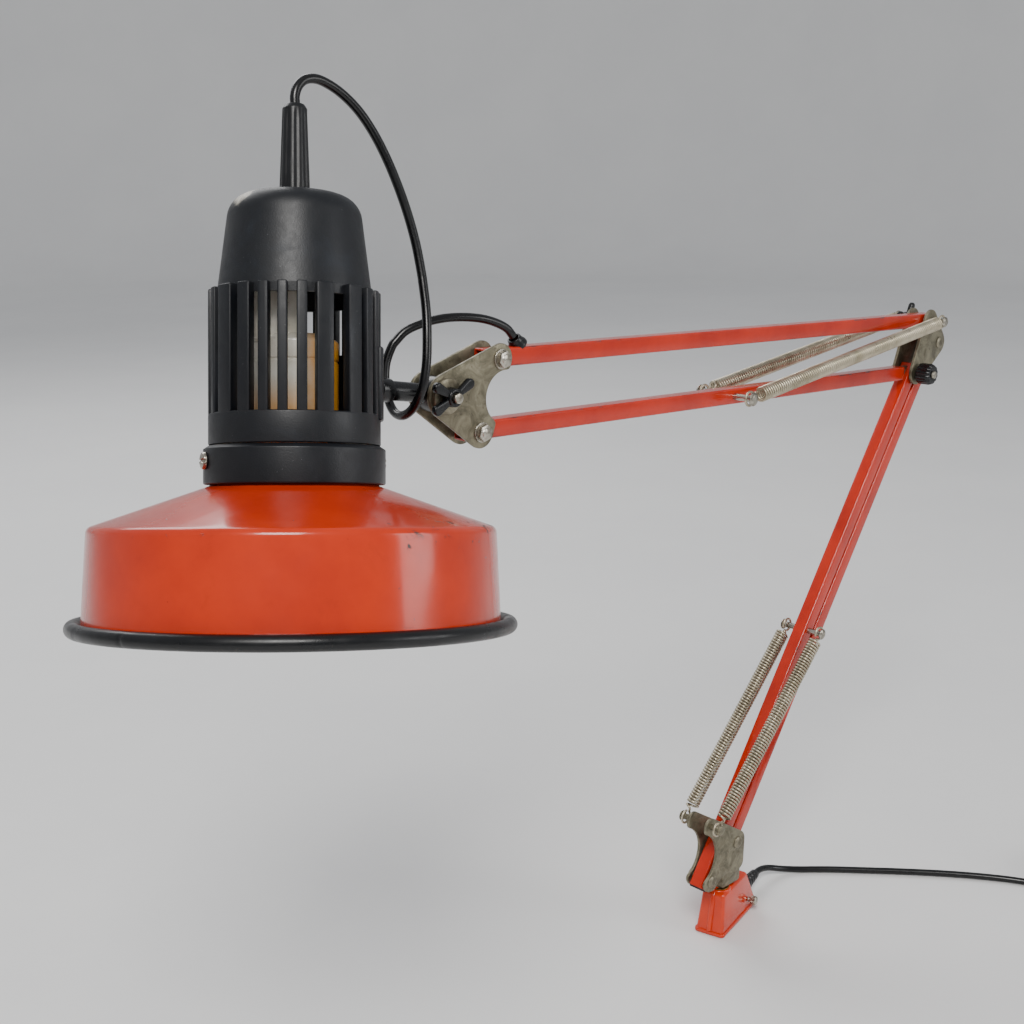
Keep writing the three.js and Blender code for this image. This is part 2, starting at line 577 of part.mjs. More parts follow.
function makeLampholder() {
  const h = HOLDER;
  const pillarTop = HOUSING.capTop - HOUSING.wall - 2 * GAP;
  const holder = [
    [h.bore, h.bottom], [h.r, h.bottom], [h.r, h.shoulder], [h.neckR + 2, h.shoulder + 3],
    [h.neckR + 2, h.top], [5, h.top + 2], [5, pillarTop], [3, pillarTop],
    [3, h.boreEnd], [h.bore, h.boreEnd],
  ];
  piece('lampholder', onAxis(turnedZ([...holder, holder[0]], 24)), FINISH.porcelain, head);

  const capTop = h.bottom + BULB.capLength;
  const cap = [[0, h.bottom], [BULB.capR, h.bottom], [BULB.capR, capTop - 3], [4, capTop], [0, capTop]];
  piece('bulb_cap', onAxis(turnedZ(cap, 20)), FINISH.bright, head);
  const centre = BULB.glassBottom + BULB.glassR;
  const neck = h.bottom - GAP;
  const glass = [
    ...arc(0, centre, BULB.glassR, -90, 38, 6), [BULB.capR + 2, neck - 12], [BULB.capR, neck],
    [0, neck],
  ];
  piece('bulb_glass', onAxis(turnedZ(glass, 20)), FINISH.amber, head);
}

function makeGland() {
  const g = GLAND;
  const base = HOUSING.capTop;
  const top = base + g.length;
  const profile = [
    [CORD_R + GAP, base - 2.3], [4.4, base - 2.3], [4.4, base + GAP], [g.baseR, base + GAP],
    [g.baseR, base + 4], [g.tipR, top - 2], [g.tipR - 1.4, top], [CORD_R + GAP, top],
  ];
  piece('cord_gland', onAxis(turnedZ([...profile, profile[0]], 16)), FINISH.rubber, head);
}

// ---------------------------------------------------------------- flexible cord
// A cord along hand-chosen points: smooth, with a round section.
function cordPiece(name, points, steps, sides = 8, look = FINISH.cord) {
  const curve = new THREE.CatmullRomCurve3(points.map((p) => new THREE.Vector3(...p)), false, 'centripetal');
  const circle = new THREE.Shape(Array.from({ length: sides }, (_, i) => (
    new THREE.Vector2(...along(360 * i / sides, CORD_R))
  )));
  const rod = new THREE.ExtrudeGeometry(circle, { steps, bevelEnabled: false, extrudePath: curve });
  return piece(name, rod, look);
}

// The head's flex: up out of the gland, over, down before the stem, round behind it and
// back over the bracket into the top tube. It is in three lengths, one for each joint.
const FLEX_HEAD = [
  [-312.2, 23, 535], [-311.5, 23.8, 538.6], [-309.2, 24.5, 542.6], [-304.8, 24.8, 545.6],
  [-298.6, 24.5, 546], [-291.8, 23.4, 543.4], [-285, 21.8, 538.8], [-278.4, 19.6, 532],
  [-272.6, 16.9, 522.8], [-268, 13.4, 511.5], [-264.6, 9.2, 498.5], [-262.4, 4.8, 485],
  [-261.4, 0.4, 471], [-262, -4.2, 456.5],
];
const FLEX_KNUCKLE = [
  [-262.1, -4.5, 455.6], [-264.2, -9.2, 441.5], [-267.4, -13.2, 428.5], [-270.6, -15.8, 416],
  [-273.4, -15.8, 405.5], [-275, -12, 397], [-275, -4.5, 391.6], [-273.5, 3.8, 391.2],
  [-271.5, 11, 396], [-269.6, 15.6, 404], [-267, 17.6, 413.5], [-262.6, 17.4, 422],
];
const FLEX_BRACKET = [
  [-261.9, 17.2, 422.8], [-256, 15.6, 428], [-246.5, 12.4, 431.6], [-236, 9, 433.2],
  [-225, 5.8, 433], [-214.8, 3.2, 431.4], [-206.6, 1.5, 428.6], [-200.8, 0.4, 425.4],
  [-196.9, 0, 421.2],
];

// The mains cord: out of the foot's far end, down onto the bench and away past the lamp.
const CORD_TAIL = [
  [62.7, 14.2, 9], [69, 15, 8.8], [75.5, 14.6, 7.8], [82, 12.9, 6], [88, 10, 4.2],
  [94.5, 5.8, 2.9], [101.5, 0, 2.3], [109, -7.2, 2.25], [118.5, -17, 2.25], [130, -30, 2.25],
  [142, -43.5, 2.25], [154, -57.5, 2.25], [165.5, -71.5, 2.25], [176.5, -86, 2.25],
  [186.5, -100.5, 2.25], [195.5, -115.5, 2.25], [202.5, -131, 2.25], [207.2, -147, 2.25],
  [208.6, -158.5, 2.25], [211, -168.4, 2.25],
];

function makeCords() {
  cordPiece('head_flex_a', FLEX_HEAD, 18);
  cordPiece('head_flex_b', FLEX_KNUCKLE, 18);
  cordPiece('head_flex_c', FLEX_BRACKET, 14);
  cordPiece('cord_tail', CORD_TAIL, 26);

  const sleeve = [[CORD_R + GAP, -3], [3.3, -3], [3.3, 5], [2.9, 6], [CORD_R + GAP, 6]];
  const entry = add(elbowTop, along(UPPER_ANGLE, FLEX_ENTRY));
  const surface = add(entry, along(UPPER_ANGLE - 90, TUBE.side / 2));
  const grommet = piece('flex_grommet', turnedZ([...sleeve, sleeve[0]], 14), FINISH.rubber);
  grommet.position.set(surface[0], 0, surface[1]);
  grommet.rotation.y = -radians(FLEX_SLANT - (180 - UPPER_ANGLE));

  const boot = [[CORD_R + GAP, 0], [3.3, 0], [3.3, 8], [4.5, 8.3], [4.3, 10], [3.3, 30],
    [CORD_R + GAP, 30]];
  const relief = turnedZ([...boot, boot[0]], 14).rotateY(Math.PI / 2);
  const bootPiece = piece('cord_boot', relief, FINISH.rubber);
  bootPiece.rotation.z = radians(FOOT.turn);
  bootPiece.position.set(...turnedPoint(-FOOT_BACK + FOOT.length - 10.2, 0, 9));

  const c = COIL;
  const innerX = c.middleR - c.bandWidth / 2 + c.cornerR;
  const outerX = c.middleR + c.bandWidth / 2 - c.cornerR;
  const section = [
    ...arc(outerX, c.cornerR, c.cornerR, -90, 0, 2),
    ...arc(outerX, c.bandHeight - c.cornerR, c.cornerR, 0, 90, 2),
    ...arc(innerX, c.bandHeight - c.cornerR, c.cornerR, 90, 180, 2),
    ...arc(innerX, c.cornerR, c.cornerR, 180, 270, 2),
  ];
  const coil = piece('cord_coil', turnedZ([...section, section[0]], 28), FINISH.cord);
  coil.position.set(c.centre[0], c.centre[1], 0);
}

// The mains plug, lying on the bench inside the end of the cord's coil.
function makePlug() {
  const p = PLUG;
  const outline = [[-0.5, -0.32], [0.22, -0.5], [0.5, -0.5], [0.5, 0.5], [0.22, 0.5], [-0.5, 0.32]];
  const shell = new THREE.Shape(outline.map(([x, y]) => new THREE.Vector2(x * p.length, y * p.width)));
  const housing = new THREE.ExtrudeGeometry(shell, { depth: p.height, bevelEnabled: false });
  const bootEnd = -p.length / 2 - p.bootLength;
  const boot = [[0, bootEnd], [p.bootTipR, bootEnd], [p.bootR, 0], [0, 0]];
  const relief = turnedY(boot, 16).rotateZ(-Math.PI / 2).translate(0, 0, p.height / 2);
  const plug = new THREE.Group();
  piece('plug_body', join(housing, relief), FINISH.plastic, plug);
  for (const [name, side] of [['plug_pin_a', -1], ['plug_pin_b', 1]]) {
    const pin = new THREE.CylinderGeometry(p.pinR, p.pinR, p.pinLength, 24).rotateZ(Math.PI / 2)
      .translate(p.length / 2 + GAP + p.pinLength / 2, side * p.pinPitch / 2, p.height / 2);
    piece(name, pin, FINISH.bright, plug);
  }
  plug.position.set(...add(COIL.centre, p.fromCoil), 0);
  plug.rotation.z = radians(p.turn);
  lamp.add(plug);
}

// ---------------------------------------------------------------- assembly
makeFoot();
makeBaseBracket();
makeLowerArm();
makeElbow();
makeUpperArm();
makeSprings();
makeHeadBracket();

head.position.set(knuckle[0], 0, knuckle[1]);
head.rotation.y = radians(HEAD_TILT);
const rolled = new THREE.Group();
makeStem();
makeHousing();
makeCollar();
makeShade();
makeLampholder();
makeGland();
for (const mesh of head.children.slice()) if (mesh.name !== 'stem') rolled.add(mesh);
rolled.rotation.x = radians(HEAD_ROLL);
head.add(rolled);
lamp.add(head);

makeCords();
makePlug();

export default lamp;
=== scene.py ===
"""A spring-balanced bench lamp: enamel cone shade, vented black head, two parallelogram arms.

Local shapes are in millimetres and are scaled to metres as each piece is made. The row frame is
+Z up, with the arms in the XZ plane: the head is towards -X and the elbow towards +X.
"""

import math

import bmesh
import bpy
from mathutils import Matrix, Vector, noise


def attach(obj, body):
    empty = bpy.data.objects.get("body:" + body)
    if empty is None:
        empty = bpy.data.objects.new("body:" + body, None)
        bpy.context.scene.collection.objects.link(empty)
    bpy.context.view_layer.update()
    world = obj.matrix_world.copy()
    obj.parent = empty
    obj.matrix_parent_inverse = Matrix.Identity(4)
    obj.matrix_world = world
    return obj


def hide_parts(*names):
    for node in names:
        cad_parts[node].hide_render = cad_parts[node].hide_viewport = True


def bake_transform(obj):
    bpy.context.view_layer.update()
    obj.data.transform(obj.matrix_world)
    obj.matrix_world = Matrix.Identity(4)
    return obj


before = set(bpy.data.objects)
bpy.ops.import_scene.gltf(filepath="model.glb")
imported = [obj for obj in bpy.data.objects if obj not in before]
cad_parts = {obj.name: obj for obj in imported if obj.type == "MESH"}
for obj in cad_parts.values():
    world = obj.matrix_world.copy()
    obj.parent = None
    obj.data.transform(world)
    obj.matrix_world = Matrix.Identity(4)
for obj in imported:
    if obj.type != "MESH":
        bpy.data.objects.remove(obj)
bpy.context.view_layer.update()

MM = 0.001
sin, cos, radians, pi = math.sin, math.cos, math.radians, math.pi

# ---- the linkage's pivots, [x, z]
LOWER_ANGLE = 55.0
UPPER_ANGLE = 177.25
LOWER_LENGTH = 382.0
UPPER_LENGTH = 427.5


def along(angle, length):
    return Vector((cos(radians(angle)) * length, sin(radians(angle)) * length))


BASE_REAR = Vector((8.0, 62.0))
LOWER_LEVER = Vector((27.24, 18.72))
UPPER_LEVER = Vector((14.0, 35.5))
BASE_FRONT = BASE_REAR - LOWER_LEVER
ELBOW_REAR = BASE_REAR + along(LOWER_ANGLE, LOWER_LENGTH)
ELBOW_BOTTOM = ELBOW_REAR - LOWER_LEVER
ELBOW_TOP = ELBOW_BOTTOM + UPPER_LEVER
HEAD_TOP = ELBOW_TOP + along(UPPER_ANGLE, UPPER_LENGTH)
HEAD_BOTTOM = HEAD_TOP - UPPER_LEVER
KNUCKLE = HEAD_TOP + Vector((-38.0, -14.0))
LOWER_ANCHOR = Vector((-22.0, 84.0))
LOWER_TIP = BASE_FRONT + along(LOWER_ANGLE, 181.0)
UPPER_TIP = ELBOW_BOTTOM + along(UPPER_ANGLE, 211.0)

# ---- sections and sizes
TUBE_SIDE = 9.5
TUBE_CORNER = 1.1
TUBE_WALL = 1.0
PLATE_INNER = 6.0
PLATE_OUTER = 8.0
PIN_R = 2.5
WIRE_R = 0.8
COIL_R = 3.95
HOOK_R = 4.2
CORD_R = 2.25

HEAD_TILT = 10.7
HEAD_ROLL = -10.6
STEM_LENGTH = 85.5
STEM_R = 4.75

FOOT_TURN = 12.8
FOOT_ENDS = (-14.0, 44.0)               # along the foot, measured from the swivel's axis
FOOT_TOP_ENDS = (-9.0, 29.0)
FOOT_HALF_WIDTH = 10.0
FOOT_HEIGHT = 29.0
FOOT_DRAFT = 2.0
CORD_EXIT_HEIGHT = 9.0

TUBE_OVERHANG = 7.0
FLEX_ENTRY = 407.6                      # from the elbow to where the flex enters the top tube
FLEX_SLANT = 40.0
WIDE_PIN_MIDDLE = 1.25                  # the pins that carry the upper springs reach further
WIDE_PIN_HALF = 19.45                   # to the far side than to the near one

CAP_TOP = 83.5
CAP_R = 28.8
SKIRT_R = 34.3
FIN_R = 38.3
SLOT_TOP = 36.4
SLOT_BOTTOM = -14.4
HOUSING_BOTTOM = -28.3
COLLAR_R = 40.5
COLLAR_TOP = -29.2
COLLAR_BOTTOM = -45.8
SHADE_CREASE = (90.4, -63.7)
SHADE_RIM = (92.4, -107.6)
SCREW_ANGLES = (160.0, 340.0)
SCREW_HEIGHT = -35.5
BEAD_MIDDLE = Vector((96.2, -108.2))    # [radius, height] of the rim bead's section
BEAD_R = 3.5
BEAD_SLOT_HALF = 0.95
GLAND_HOLE_R = 4.7
GLAND_LENGTH = 41.3
BULB_MIDDLE = -59.0
BULB_R = 29.0

COIL_CENTRE = Vector((244.6, -152.5))
COIL_MIDDLE_R = 26.0
PLUG_FROM_COIL = (49.5, 23.5)
PLUG_HALF_HEIGHT = 6.5
PLUG_TURN = 70.0
TIE_TURN = 70.0

# ---- the cords' routes
FLEX_HEAD = (
    (-312.2, 23, 535), (-311.5, 23.8, 538.6), (-309.2, 24.5, 542.6), (-304.8, 24.8, 545.6),
    (-298.6, 24.5, 546), (-291.8, 23.4, 543.4), (-285, 21.8, 538.8), (-278.4, 19.6, 532),
    (-272.6, 16.9, 522.8), (-268, 13.4, 511.5), (-264.6, 9.2, 498.5), (-262.4, 4.8, 485),
    (-261.4, 0.4, 471), (-262, -4.2, 456.5),
)
FLEX_KNUCKLE = (
    (-262.1, -4.5, 455.6), (-264.2, -9.2, 441.5), (-267.4, -13.2, 428.5), (-270.6, -15.8, 416),
    (-273.4, -15.8, 405.5), (-275, -12, 397), (-275, -4.5, 391.6), (-273.5, 3.8, 391.2),
    (-271.5, 11, 396), (-269.6, 15.6, 404), (-267, 17.6, 413.5), (-262.6, 17.4, 422),
)
FLEX_BRACKET = (
    (-261.9, 17.2, 422.8), (-256, 15.6, 428), (-246.5, 12.4, 431.6), (-236, 9, 433.2),
    (-225, 5.8, 433), (-214.8, 3.2, 431.4), (-206.6, 1.5, 428.6), (-200.8, 0.4, 425.4),
    (-196.9, 0, 421.2),
)
CORD_TAIL = (
    (62.7, 14.2, 9), (69, 15, 8.8), (75.5, 14.6, 7.8), (82, 12.9, 6), (88, 10, 4.2),
    (94.5, 5.8, 2.9), (101.5, 0, 2.3), (109, -7.2, 2.25), (118.5, -17, 2.25), (130, -30, 2.25),
    (142, -43.5, 2.25), (154, -57.5, 2.25), (165.5, -71.5, 2.25), (176.5, -86, 2.25),
    (186.5, -100.5, 2.25), (195.5, -115.5, 2.25), (202.5, -131, 2.25), (207.2, -147, 2.25),
    (208.6, -158.5, 2.25), (211, -168.4, 2.25),
)


# ---- places
def at(x, y, z):
    return Matrix.Translation(Vector((x, y, z)) * MM)


def on_pivot(pivot, y=0.0):
    return at(pivot[0], y, pivot[1])


def turn(angle, axis):
    return Matrix.Rotation(radians(angle), 4, axis)


KNUCKLE_FRAME = on_pivot(KNUCKLE) @ turn(HEAD_TILT, "Y")
HEAD_FRAME = KNUCKLE_FRAME @ turn(HEAD_ROLL, "X") @ at(-STEM_LENGTH, 0, 0)
FOOT_FRAME = turn(FOOT_TURN, "Z")
HERE = Matrix.Identity(4)


# ---- outlines
def swung(arm, a):
    return Vector((arm.x * cos(a) - arm.y * sin(a), arm.x * sin(a) + arm.y * cos(a)))


def rounded(points, radii, closed=True, steps=5):
    """The outline with each corner replaced by an arc. radii is one number or one per point."""
    count = len(points)
    radii = radii if hasattr(radii, "__len__") else [radii] * count
    done = []
    for i, here in enumerate(points):
        here = Vector(here)
        if radii[i] <= 0 or (not closed and i in (0, count - 1)):
            done.append(here)
            continue
        back = Vector(points[i - 1]) - here
        ahead = Vector(points[(i + 1) % count]) - here
        half = back.angle(ahead) / 2
        if half > pi / 2 - 0.02:
            done.append(here)
            continue
        reach = min(radii[i] / math.tan(half), back.length * 0.49, ahead.length * 0.49)
        radius = reach * math.tan(half)
        centre = here + (back.normalized() + ahead.normalized()).normalized() * radius / sin(half)
        start = here + back.normalized() * reach - centre
        end = here + ahead.normalized() * reach - centre
        sweep_angle = start.angle_signed(end)
        for k in range(steps + 1):
            done.append(centre + swung(start, -sweep_angle * k / steps))
    return done


def hull_of_lobes(lobes, steps=64):
    """Convex outline round circles given as ((x, z), radius)."""
    points = []
    for centre, radius in lobes:
        points += [Vector(centre) + along(360 * k / steps, radius) for k in range(steps)]
    points.sort(key=lambda p: (p.x, p.y))

    def chain(items):
        kept = []
        for p in items:
            while len(kept) > 1 and (kept[-1] - kept[-2]).cross(p - kept[-2]) <= 0:
                kept.pop()
            kept.append(p)
        return kept[:-1]

    return chain(points) + chain(points[::-1])


def even_steps(outline, step=0.6):
    done = []
    for i, here in enumerate(outline):
        ahead = outline[(i + 1) % len(outline)]
        parts = max(1, int((ahead - here).length / step))
        done += [here.lerp(ahead, k / parts) for k in range(parts)]
    return done


def bitten(outline, centre, radius):
    """The outline with a round bite taken out of one of its sides."""
    centre = Vector(centre)
    points = even_steps(outline)
    inside = [(p - centre).length < radius for p in points]
    first = next(i for i in range(len(points)) if inside[i] and not inside[i - 1])
    points = points[first:] + points[:first]
    inside = inside[first:] + inside[:first]
    kept = [p for p, cut in zip(points, inside) if not cut]
    start = (kept[-1] - centre).normalized() * radius
    end = (kept[0] - centre).normalized() * radius
    sweep_angle = -start.angle_signed(end)
    steps = max(4, int(abs(sweep_angle) * radius / 0.6))
    return kept + [centre + swung(start, sweep_angle * k / steps) for k in range(1, steps)]


def relaxed(outline, rounds):
    """The outline with its corners softened."""
    points = even_steps(outline)
    for _ in range(rounds):
        count = len(points)
        points = [
            points[i] * 0.5 + (points[i - 1] + points[(i + 1) % count]) * 0.25
            for i in range(count)
        ]
    return points


# ---- mesh builders
def lathe(bm, profile, segments=96, closed=True, wobble=None):
    """Revolves [radius, height] points about Z. wobble(angle, point) gives the local radius."""
    rings = []
    for point in profile:
        r, z = point[0], point[1]
        if r < 1e-6:
            rings.append([bm.verts.new((0, 0, z))])
            continue
        ring = []
        for k in range(segments):
            a = 2 * pi * k / segments
            here = wobble(a, r, z) if wobble else r
            ring.append(bm.verts.new((here * cos(a), here * sin(a), z)))
        rings.append(ring)
    pairs = list(zip(rings, rings[1:]))
    if closed:
        pairs.append((rings[-1], rings[0]))
    faces = []
    for low, high in pairs:
        for k in range(segments):
            n = (k + 1) % segments
            if len(low) == 1 and len(high) == 1:
                break
            if len(low) == 1:
                faces.append(bm.faces.new((low[0], high[n], high[k])))
            elif len(high) == 1:
                faces.append(bm.faces.new((low[k], low[n], high[0])))
            else:
                faces.append(bm.faces.new((low[k], low[n], high[n], high[k])))
    return faces


def prism(bm, outline, y0, y1):
    """A flat slab: an outline in the XZ plane, carried from y0 to y1."""
    near = [bm.verts.new((p[0], y0, p[1])) for p in outline]
    far = [bm.verts.new((p[0], y1, p[1])) for p in outline]
    bm.faces.new(near)
    bm.faces.new(far[::-1])
    count = len(outline)
    for i in range(count):
        n = (i + 1) % count
        bm.faces.new((near[n], near[i], far[i], far[n]))


def box(bm, x0, x1, y0, y1, z0, z1):
    prism(bm, [(x0, z0), (x1, z0), (x1, z1), (x0, z1)], y0, y1)


def soften(bm, width, segments=2, sharper_than=35, where=None):
    """Rounds the edges whose faces meet at more than that angle."""
    bmesh.ops.recalc_face_normals(bm, faces=bm.faces)
    edges = [
        e for e in bm.edges
        if len(e.link_faces) == 2 and e.calc_face_angle() > radians(sharper_than)
        and (where is None or where(e))
    ]
    bmesh.ops.bevel(bm, geom=edges, offset=width, segments=segments, affect="EDGES",
                    clamp_overlap=True, profile=0.5)


def sweep(bm, points, radius, sides=12, cap=True):
    """A round rod along points. radius is a number, or a function of the step's share."""
    points = [Vector(p) for p in points]
    last = len(points) - 1
    tangents = [
        (points[min(i + 1, last)] - points[max(i - 1, 0)]).normalized() for i in range(last + 1)
    ]
    side = tangents[0].orthogonal().normalized()
    rings = []
    for i, (p, t) in enumerate(zip(points, tangents)):
        side = (side - t * side.dot(t)).normalized()
        other = t.cross(side)
        r = radius(i / last) if callable(radius) else radius
        rings.append([
            bm.verts.new(p + (side * cos(2 * pi * k / sides) + other * sin(2 * pi * k / sides)) * r)
            for k in range(sides)
        ])
    for low, high in zip(rings, rings[1:]):
        for k in range(sides):
            n = (k + 1) % sides
            bm.faces.new((low[k], low[n], high[n], high[k]))
    if cap:
        bm.faces.new(rings[0][::-1])
        bm.faces.new(rings[-1])


def moved(bm, matrix, build, *args, **kwargs):
    """Runs a builder, then places only what it made. matrix is in millimetres."""
    before = set(bm.verts)
    result = build(bm, *args, **kwargs)
    bmesh.ops.transform(bm, matrix=matrix, verts=[v for v in bm.verts if v not in before])
    return result


def join_into(bm, other):
    """Adds another bmesh's shape to bm and frees it."""
    mesh = bpy.data.meshes.new("part")
    other.to_mesh(mesh)
    other.free()
    bm.from_mesh(mesh)
    bpy.data.meshes.remove(mesh)


def shift(x, y, z):
    return Matrix.Translation((x, y, z))


# A lathe stands on +Z; these lay it along +Y, -Y and +X.
TO_Y = turn(-90, "X")
TO_MINUS_Y = turn(90, "X")
TO_X = turn(90, "Y")


def spline(points, per_segment=8):
    """Centripetal Catmull-Rom through the points."""
    pts = [Vector(p) for p in points]
    pts = [pts[0] * 2 - pts[1]] + pts + [pts[-1] * 2 - pts[-2]]
    done = []
    for i in range(1, len(pts) - 2):
        p0, p1, p2, p3 = pts[i - 1: i + 3]
        t0 = 0.0
        t1 = t0 + math.sqrt((p1 - p0).length)
        t2 = t1 + math.sqrt((p2 - p1).length)
        t3 = t2 + math.sqrt((p3 - p2).length)
        for k in range(per_segment):
            t = t1 + (t2 - t1) * k / per_segment
            a1 = p0 * ((t1 - t) / (t1 - t0)) + p1 * ((t - t0) / (t1 - t0))
            a2 = p1 * ((t2 - t) / (t2 - t1)) + p2 * ((t - t1) / (t2 - t1))
            a3 = p2 * ((t3 - t) / (t3 - t2)) + p3 * ((t - t2) / (t3 - t2))
            b1 = a1 * ((t2 - t) / (t2 - t0)) + a2 * ((t - t0) / (t2 - t0))
            b2 = a2 * ((t3 - t) / (t3 - t1)) + a3 * ((t - t1) / (t3 - t1))
            done.append(b1 * ((t2 - t) / (t2 - t1)) + b2 * ((t - t1) / (t2 - t1)))
    return done + [pts[-2]]


# ---- pieces
def piece(name, bm, look, body, matrix=HERE, nodes=None, sharp=32):
    """Turns a millimetre bmesh into a piece on its body.

    It stands for the CAD nodes listed, or for the one of its own name.
    """
    bmesh.ops.recalc_face_normals(bm, faces=bm.faces)
    bmesh.ops.scale(bm, vec=(MM, MM, MM), verts=bm.verts)
    mesh = bpy.data.meshes.new(name)
    bm.to_mesh(mesh)
    bm.free()
    mesh.polygons.foreach_set("use_smooth", [True] * len(mesh.polygons))
    mesh.set_sharp_from_angle(angle=radians(sharp))
    mesh.materials.append(look)
    obj = bpy.data.objects.new(f"fine_{name}", mesh)
    bpy.context.scene.collection.objects.link(obj)
    obj.matrix_world = matrix
    if body:
        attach(obj, body)
    nodes = [name] if nodes is None else nodes
    if nodes:
        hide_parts(*nodes)
    return obj


def turned(name, profile, segments, look, body, matrix=HERE, lay=None, closed=True, wobble=None,
           sharp=32):
    """A piece that is one turned shape. lay puts its axis along another one first."""
    bm = bmesh.new()
    if lay is None:
        lathe(bm, profile, segments, closed, wobble)
    else:
        moved(bm, lay, lathe, profile, segments, closed, wobble)
    return piece(name, bm, look, body, matrix, sharp=sharp)


# ---- materials
def tint(code):
    """A hex colour as linear light."""
    parts = [int(code[i:i + 2], 16) / 255 for i in (0, 2, 4)]
    return tuple(c / 12.92 if c <= 0.04045 else ((c + 0.055) / 1.055) ** 2.4 for c in parts) + (1,)


class Look:
    """A Principled material, with short calls for procedural detail in the piece's own space."""

    def __init__(self, name, **sockets):
        self.material = bpy.data.materials.new(name)
        self.material.use_nodes = True
        self.tree = self.material.node_tree
        self.tree.nodes.clear()
        self.out = self.tree.nodes.new("ShaderNodeOutputMaterial")
        self.shader = self.tree.nodes.new("ShaderNodeBsdfPrincipled")
        self.tree.links.new(self.shader.outputs[0], self.out.inputs["Surface"])
        self.space = self.tree.nodes.new("ShaderNodeTexCoord").outputs["Object"]
        for socket, value in sockets.items():
            self.shader.inputs[socket.replace("_", " ")].default_value = value

    def node(self, kind, inputs=(), **settings):
        made = self.tree.nodes.new(kind)
        for key, value in settings.items():
            setattr(made, key, value)
        for key, value in dict(inputs).items():
            self.wire(made.inputs[key], value)
        return made

    def wire(self, socket, value):
        if isinstance(value, bpy.types.NodeSocket):
            self.tree.links.new(value, socket)
        else:
            socket.default_value = tint(value) if isinstance(value, str) else value

    def noise(self, scale, detail=3.0, roughness=0.55, distortion=0.0, stretch=None):
        """Noise with about scale blobs to the metre. stretch scales each axis."""
        space = self.space
        if stretch:
            space = self.node("ShaderNodeMapping", {"Vector": space, "Scale": stretch}).outputs[0]
        made = self.node("ShaderNodeTexNoise", {
            "Vector": space, "Scale": scale, "Detail": detail, "Roughness": roughness,
            "Distortion": distortion,
        })
        return made.outputs["Fac"]

    def cells(self, scale, feature="F1"):
        made = self.node("ShaderNodeTexVoronoi", {"Vector": self.space, "Scale": scale}, feature=feature)
        return made.outputs["Distance"]

    def axes(self):
        return self.node("ShaderNodeSeparateXYZ", {"Vector": self.space}).outputs

    def math(self, operation, a, b=0.0, c=0.0):
        return self.node("ShaderNodeMath", {0: a, 1: b, 2: c}, operation=operation).outputs[0]

    def step(self, value, low, high, to_low=0.0, to_high=1.0):
        """A smooth step from low to high."""
        return self.node("ShaderNodeMapRange", {
            "Value": value, "From Min": low, "From Max": high, "To Min": to_low, "To Max": to_high,
        }, interpolation_type="SMOOTHSTEP").outputs[0]

    def mix(self, share, a, b):
        made = self.node("ShaderNodeMix", data_type="RGBA")
        self.wire(made.inputs[0], share)
        self.wire(made.inputs[6], a)
        self.wire(made.inputs[7], b)
        return made.outputs[2]

    def bump(self, height, strength, depth, below=None):
        made = self.node("ShaderNodeBump", {"Height": height, "Strength": strength, "Distance": depth})
        if below is not None:
            self.wire(made.inputs["Normal"], below)
        return made.outputs[0]

    def stained(self, colour, code, noise, low, high, share):
        """The colour with another over it in noise patches. noise holds noise()'s arguments."""
        mask = self.step(self.noise(*noise), low, high)
        return self.mix(self.math("MULTIPLY", mask, share), colour, code)

    def finished(self, colour, rough, normal=None):
        self.wire(self.shader.inputs["Base Color"], colour)
        self.wire(self.shader.inputs["Roughness"], rough)
        if normal is not None:
            self.wire(self.shader.inputs["Normal"], normal)
        return self.material


def enamel(name, base, deep, chips=None):
    """Stoved gloss enamel: faint orange peel, mottled depth, smears, specks and edge chips.

    chips(look) gives a 0-1 mask of where the enamel is knocked off down to dark steel.
    """
    look = Look(name, Metallic=0.0, Coat_Weight=0.35, Coat_Roughness=0.1, IOR=1.42)
    mottle = look.step(look.noise(22, 4, 0.6), 0.3, 0.7)
    colour = look.mix(mottle, base, deep)
    colour = look.stained(colour, "6a2404", (70, 6, 0.7, 0.6), 0.56, 0.8, 0.2)
    specks = look.step(look.cells(260), 0.05, 0.025)
    rare = look.step(look.noise(45, 2), 0.56, 0.62)
    specks = look.math("MULTIPLY", specks, rare)
    colour = look.mix(specks, colour, "2a120a")
    rough = look.step(look.noise(55, 5, 0.65), 0.3, 0.75, 0.17, 0.27)
    normal = look.bump(look.noise(420, 2, 0.5), 0.05, 0.0006)
    normal = look.bump(look.noise(38, 2, 0.5), 0.1, 0.0025, normal)
    if chips:
        mask = chips(look)
        colour = look.mix(mask, colour, "30241e")
        rough = look.math("MAXIMUM", rough, look.math("MULTIPLY", mask, 0.6))
        normal = look.bump(look.math("SUBTRACT", 1.0, mask), 0.5, 0.0003, normal)
    return look.finished(colour, rough, normal)


def shade_chips(look):
    """Chips along the crease and above the bead, thicker on the side towards the arm."""
    x, y, z = look.axes()
    from_crease = look.math("ABSOLUTE", look.math("ADD", z, -SHADE_CREASE[1] * MM))
    crease = look.step(from_crease, 0.0065, 0.001)
    rim = look.step(z, (SHADE_RIM[1] + 6) * MM, SHADE_RIM[1] * MM)
    facing = look.step(look.math("SUBTRACT", x, look.math("MULTIPLY", y, 0.9)), 0.02, 0.1, 0.0, 0.07)
    spots = look.math("ADD", look.noise(150, 5, 0.72, 0.5), facing)
    on_edges = look.step(spots, 0.66, 0.69)
    on_wall = look.step(spots, 0.735, 0.75)
    edges = look.math("MAXIMUM", crease, look.math("MULTIPLY", rim, 0.6))
    return look.math("MAXIMUM", look.math("MULTIPLY", on_edges, edges), on_wall)


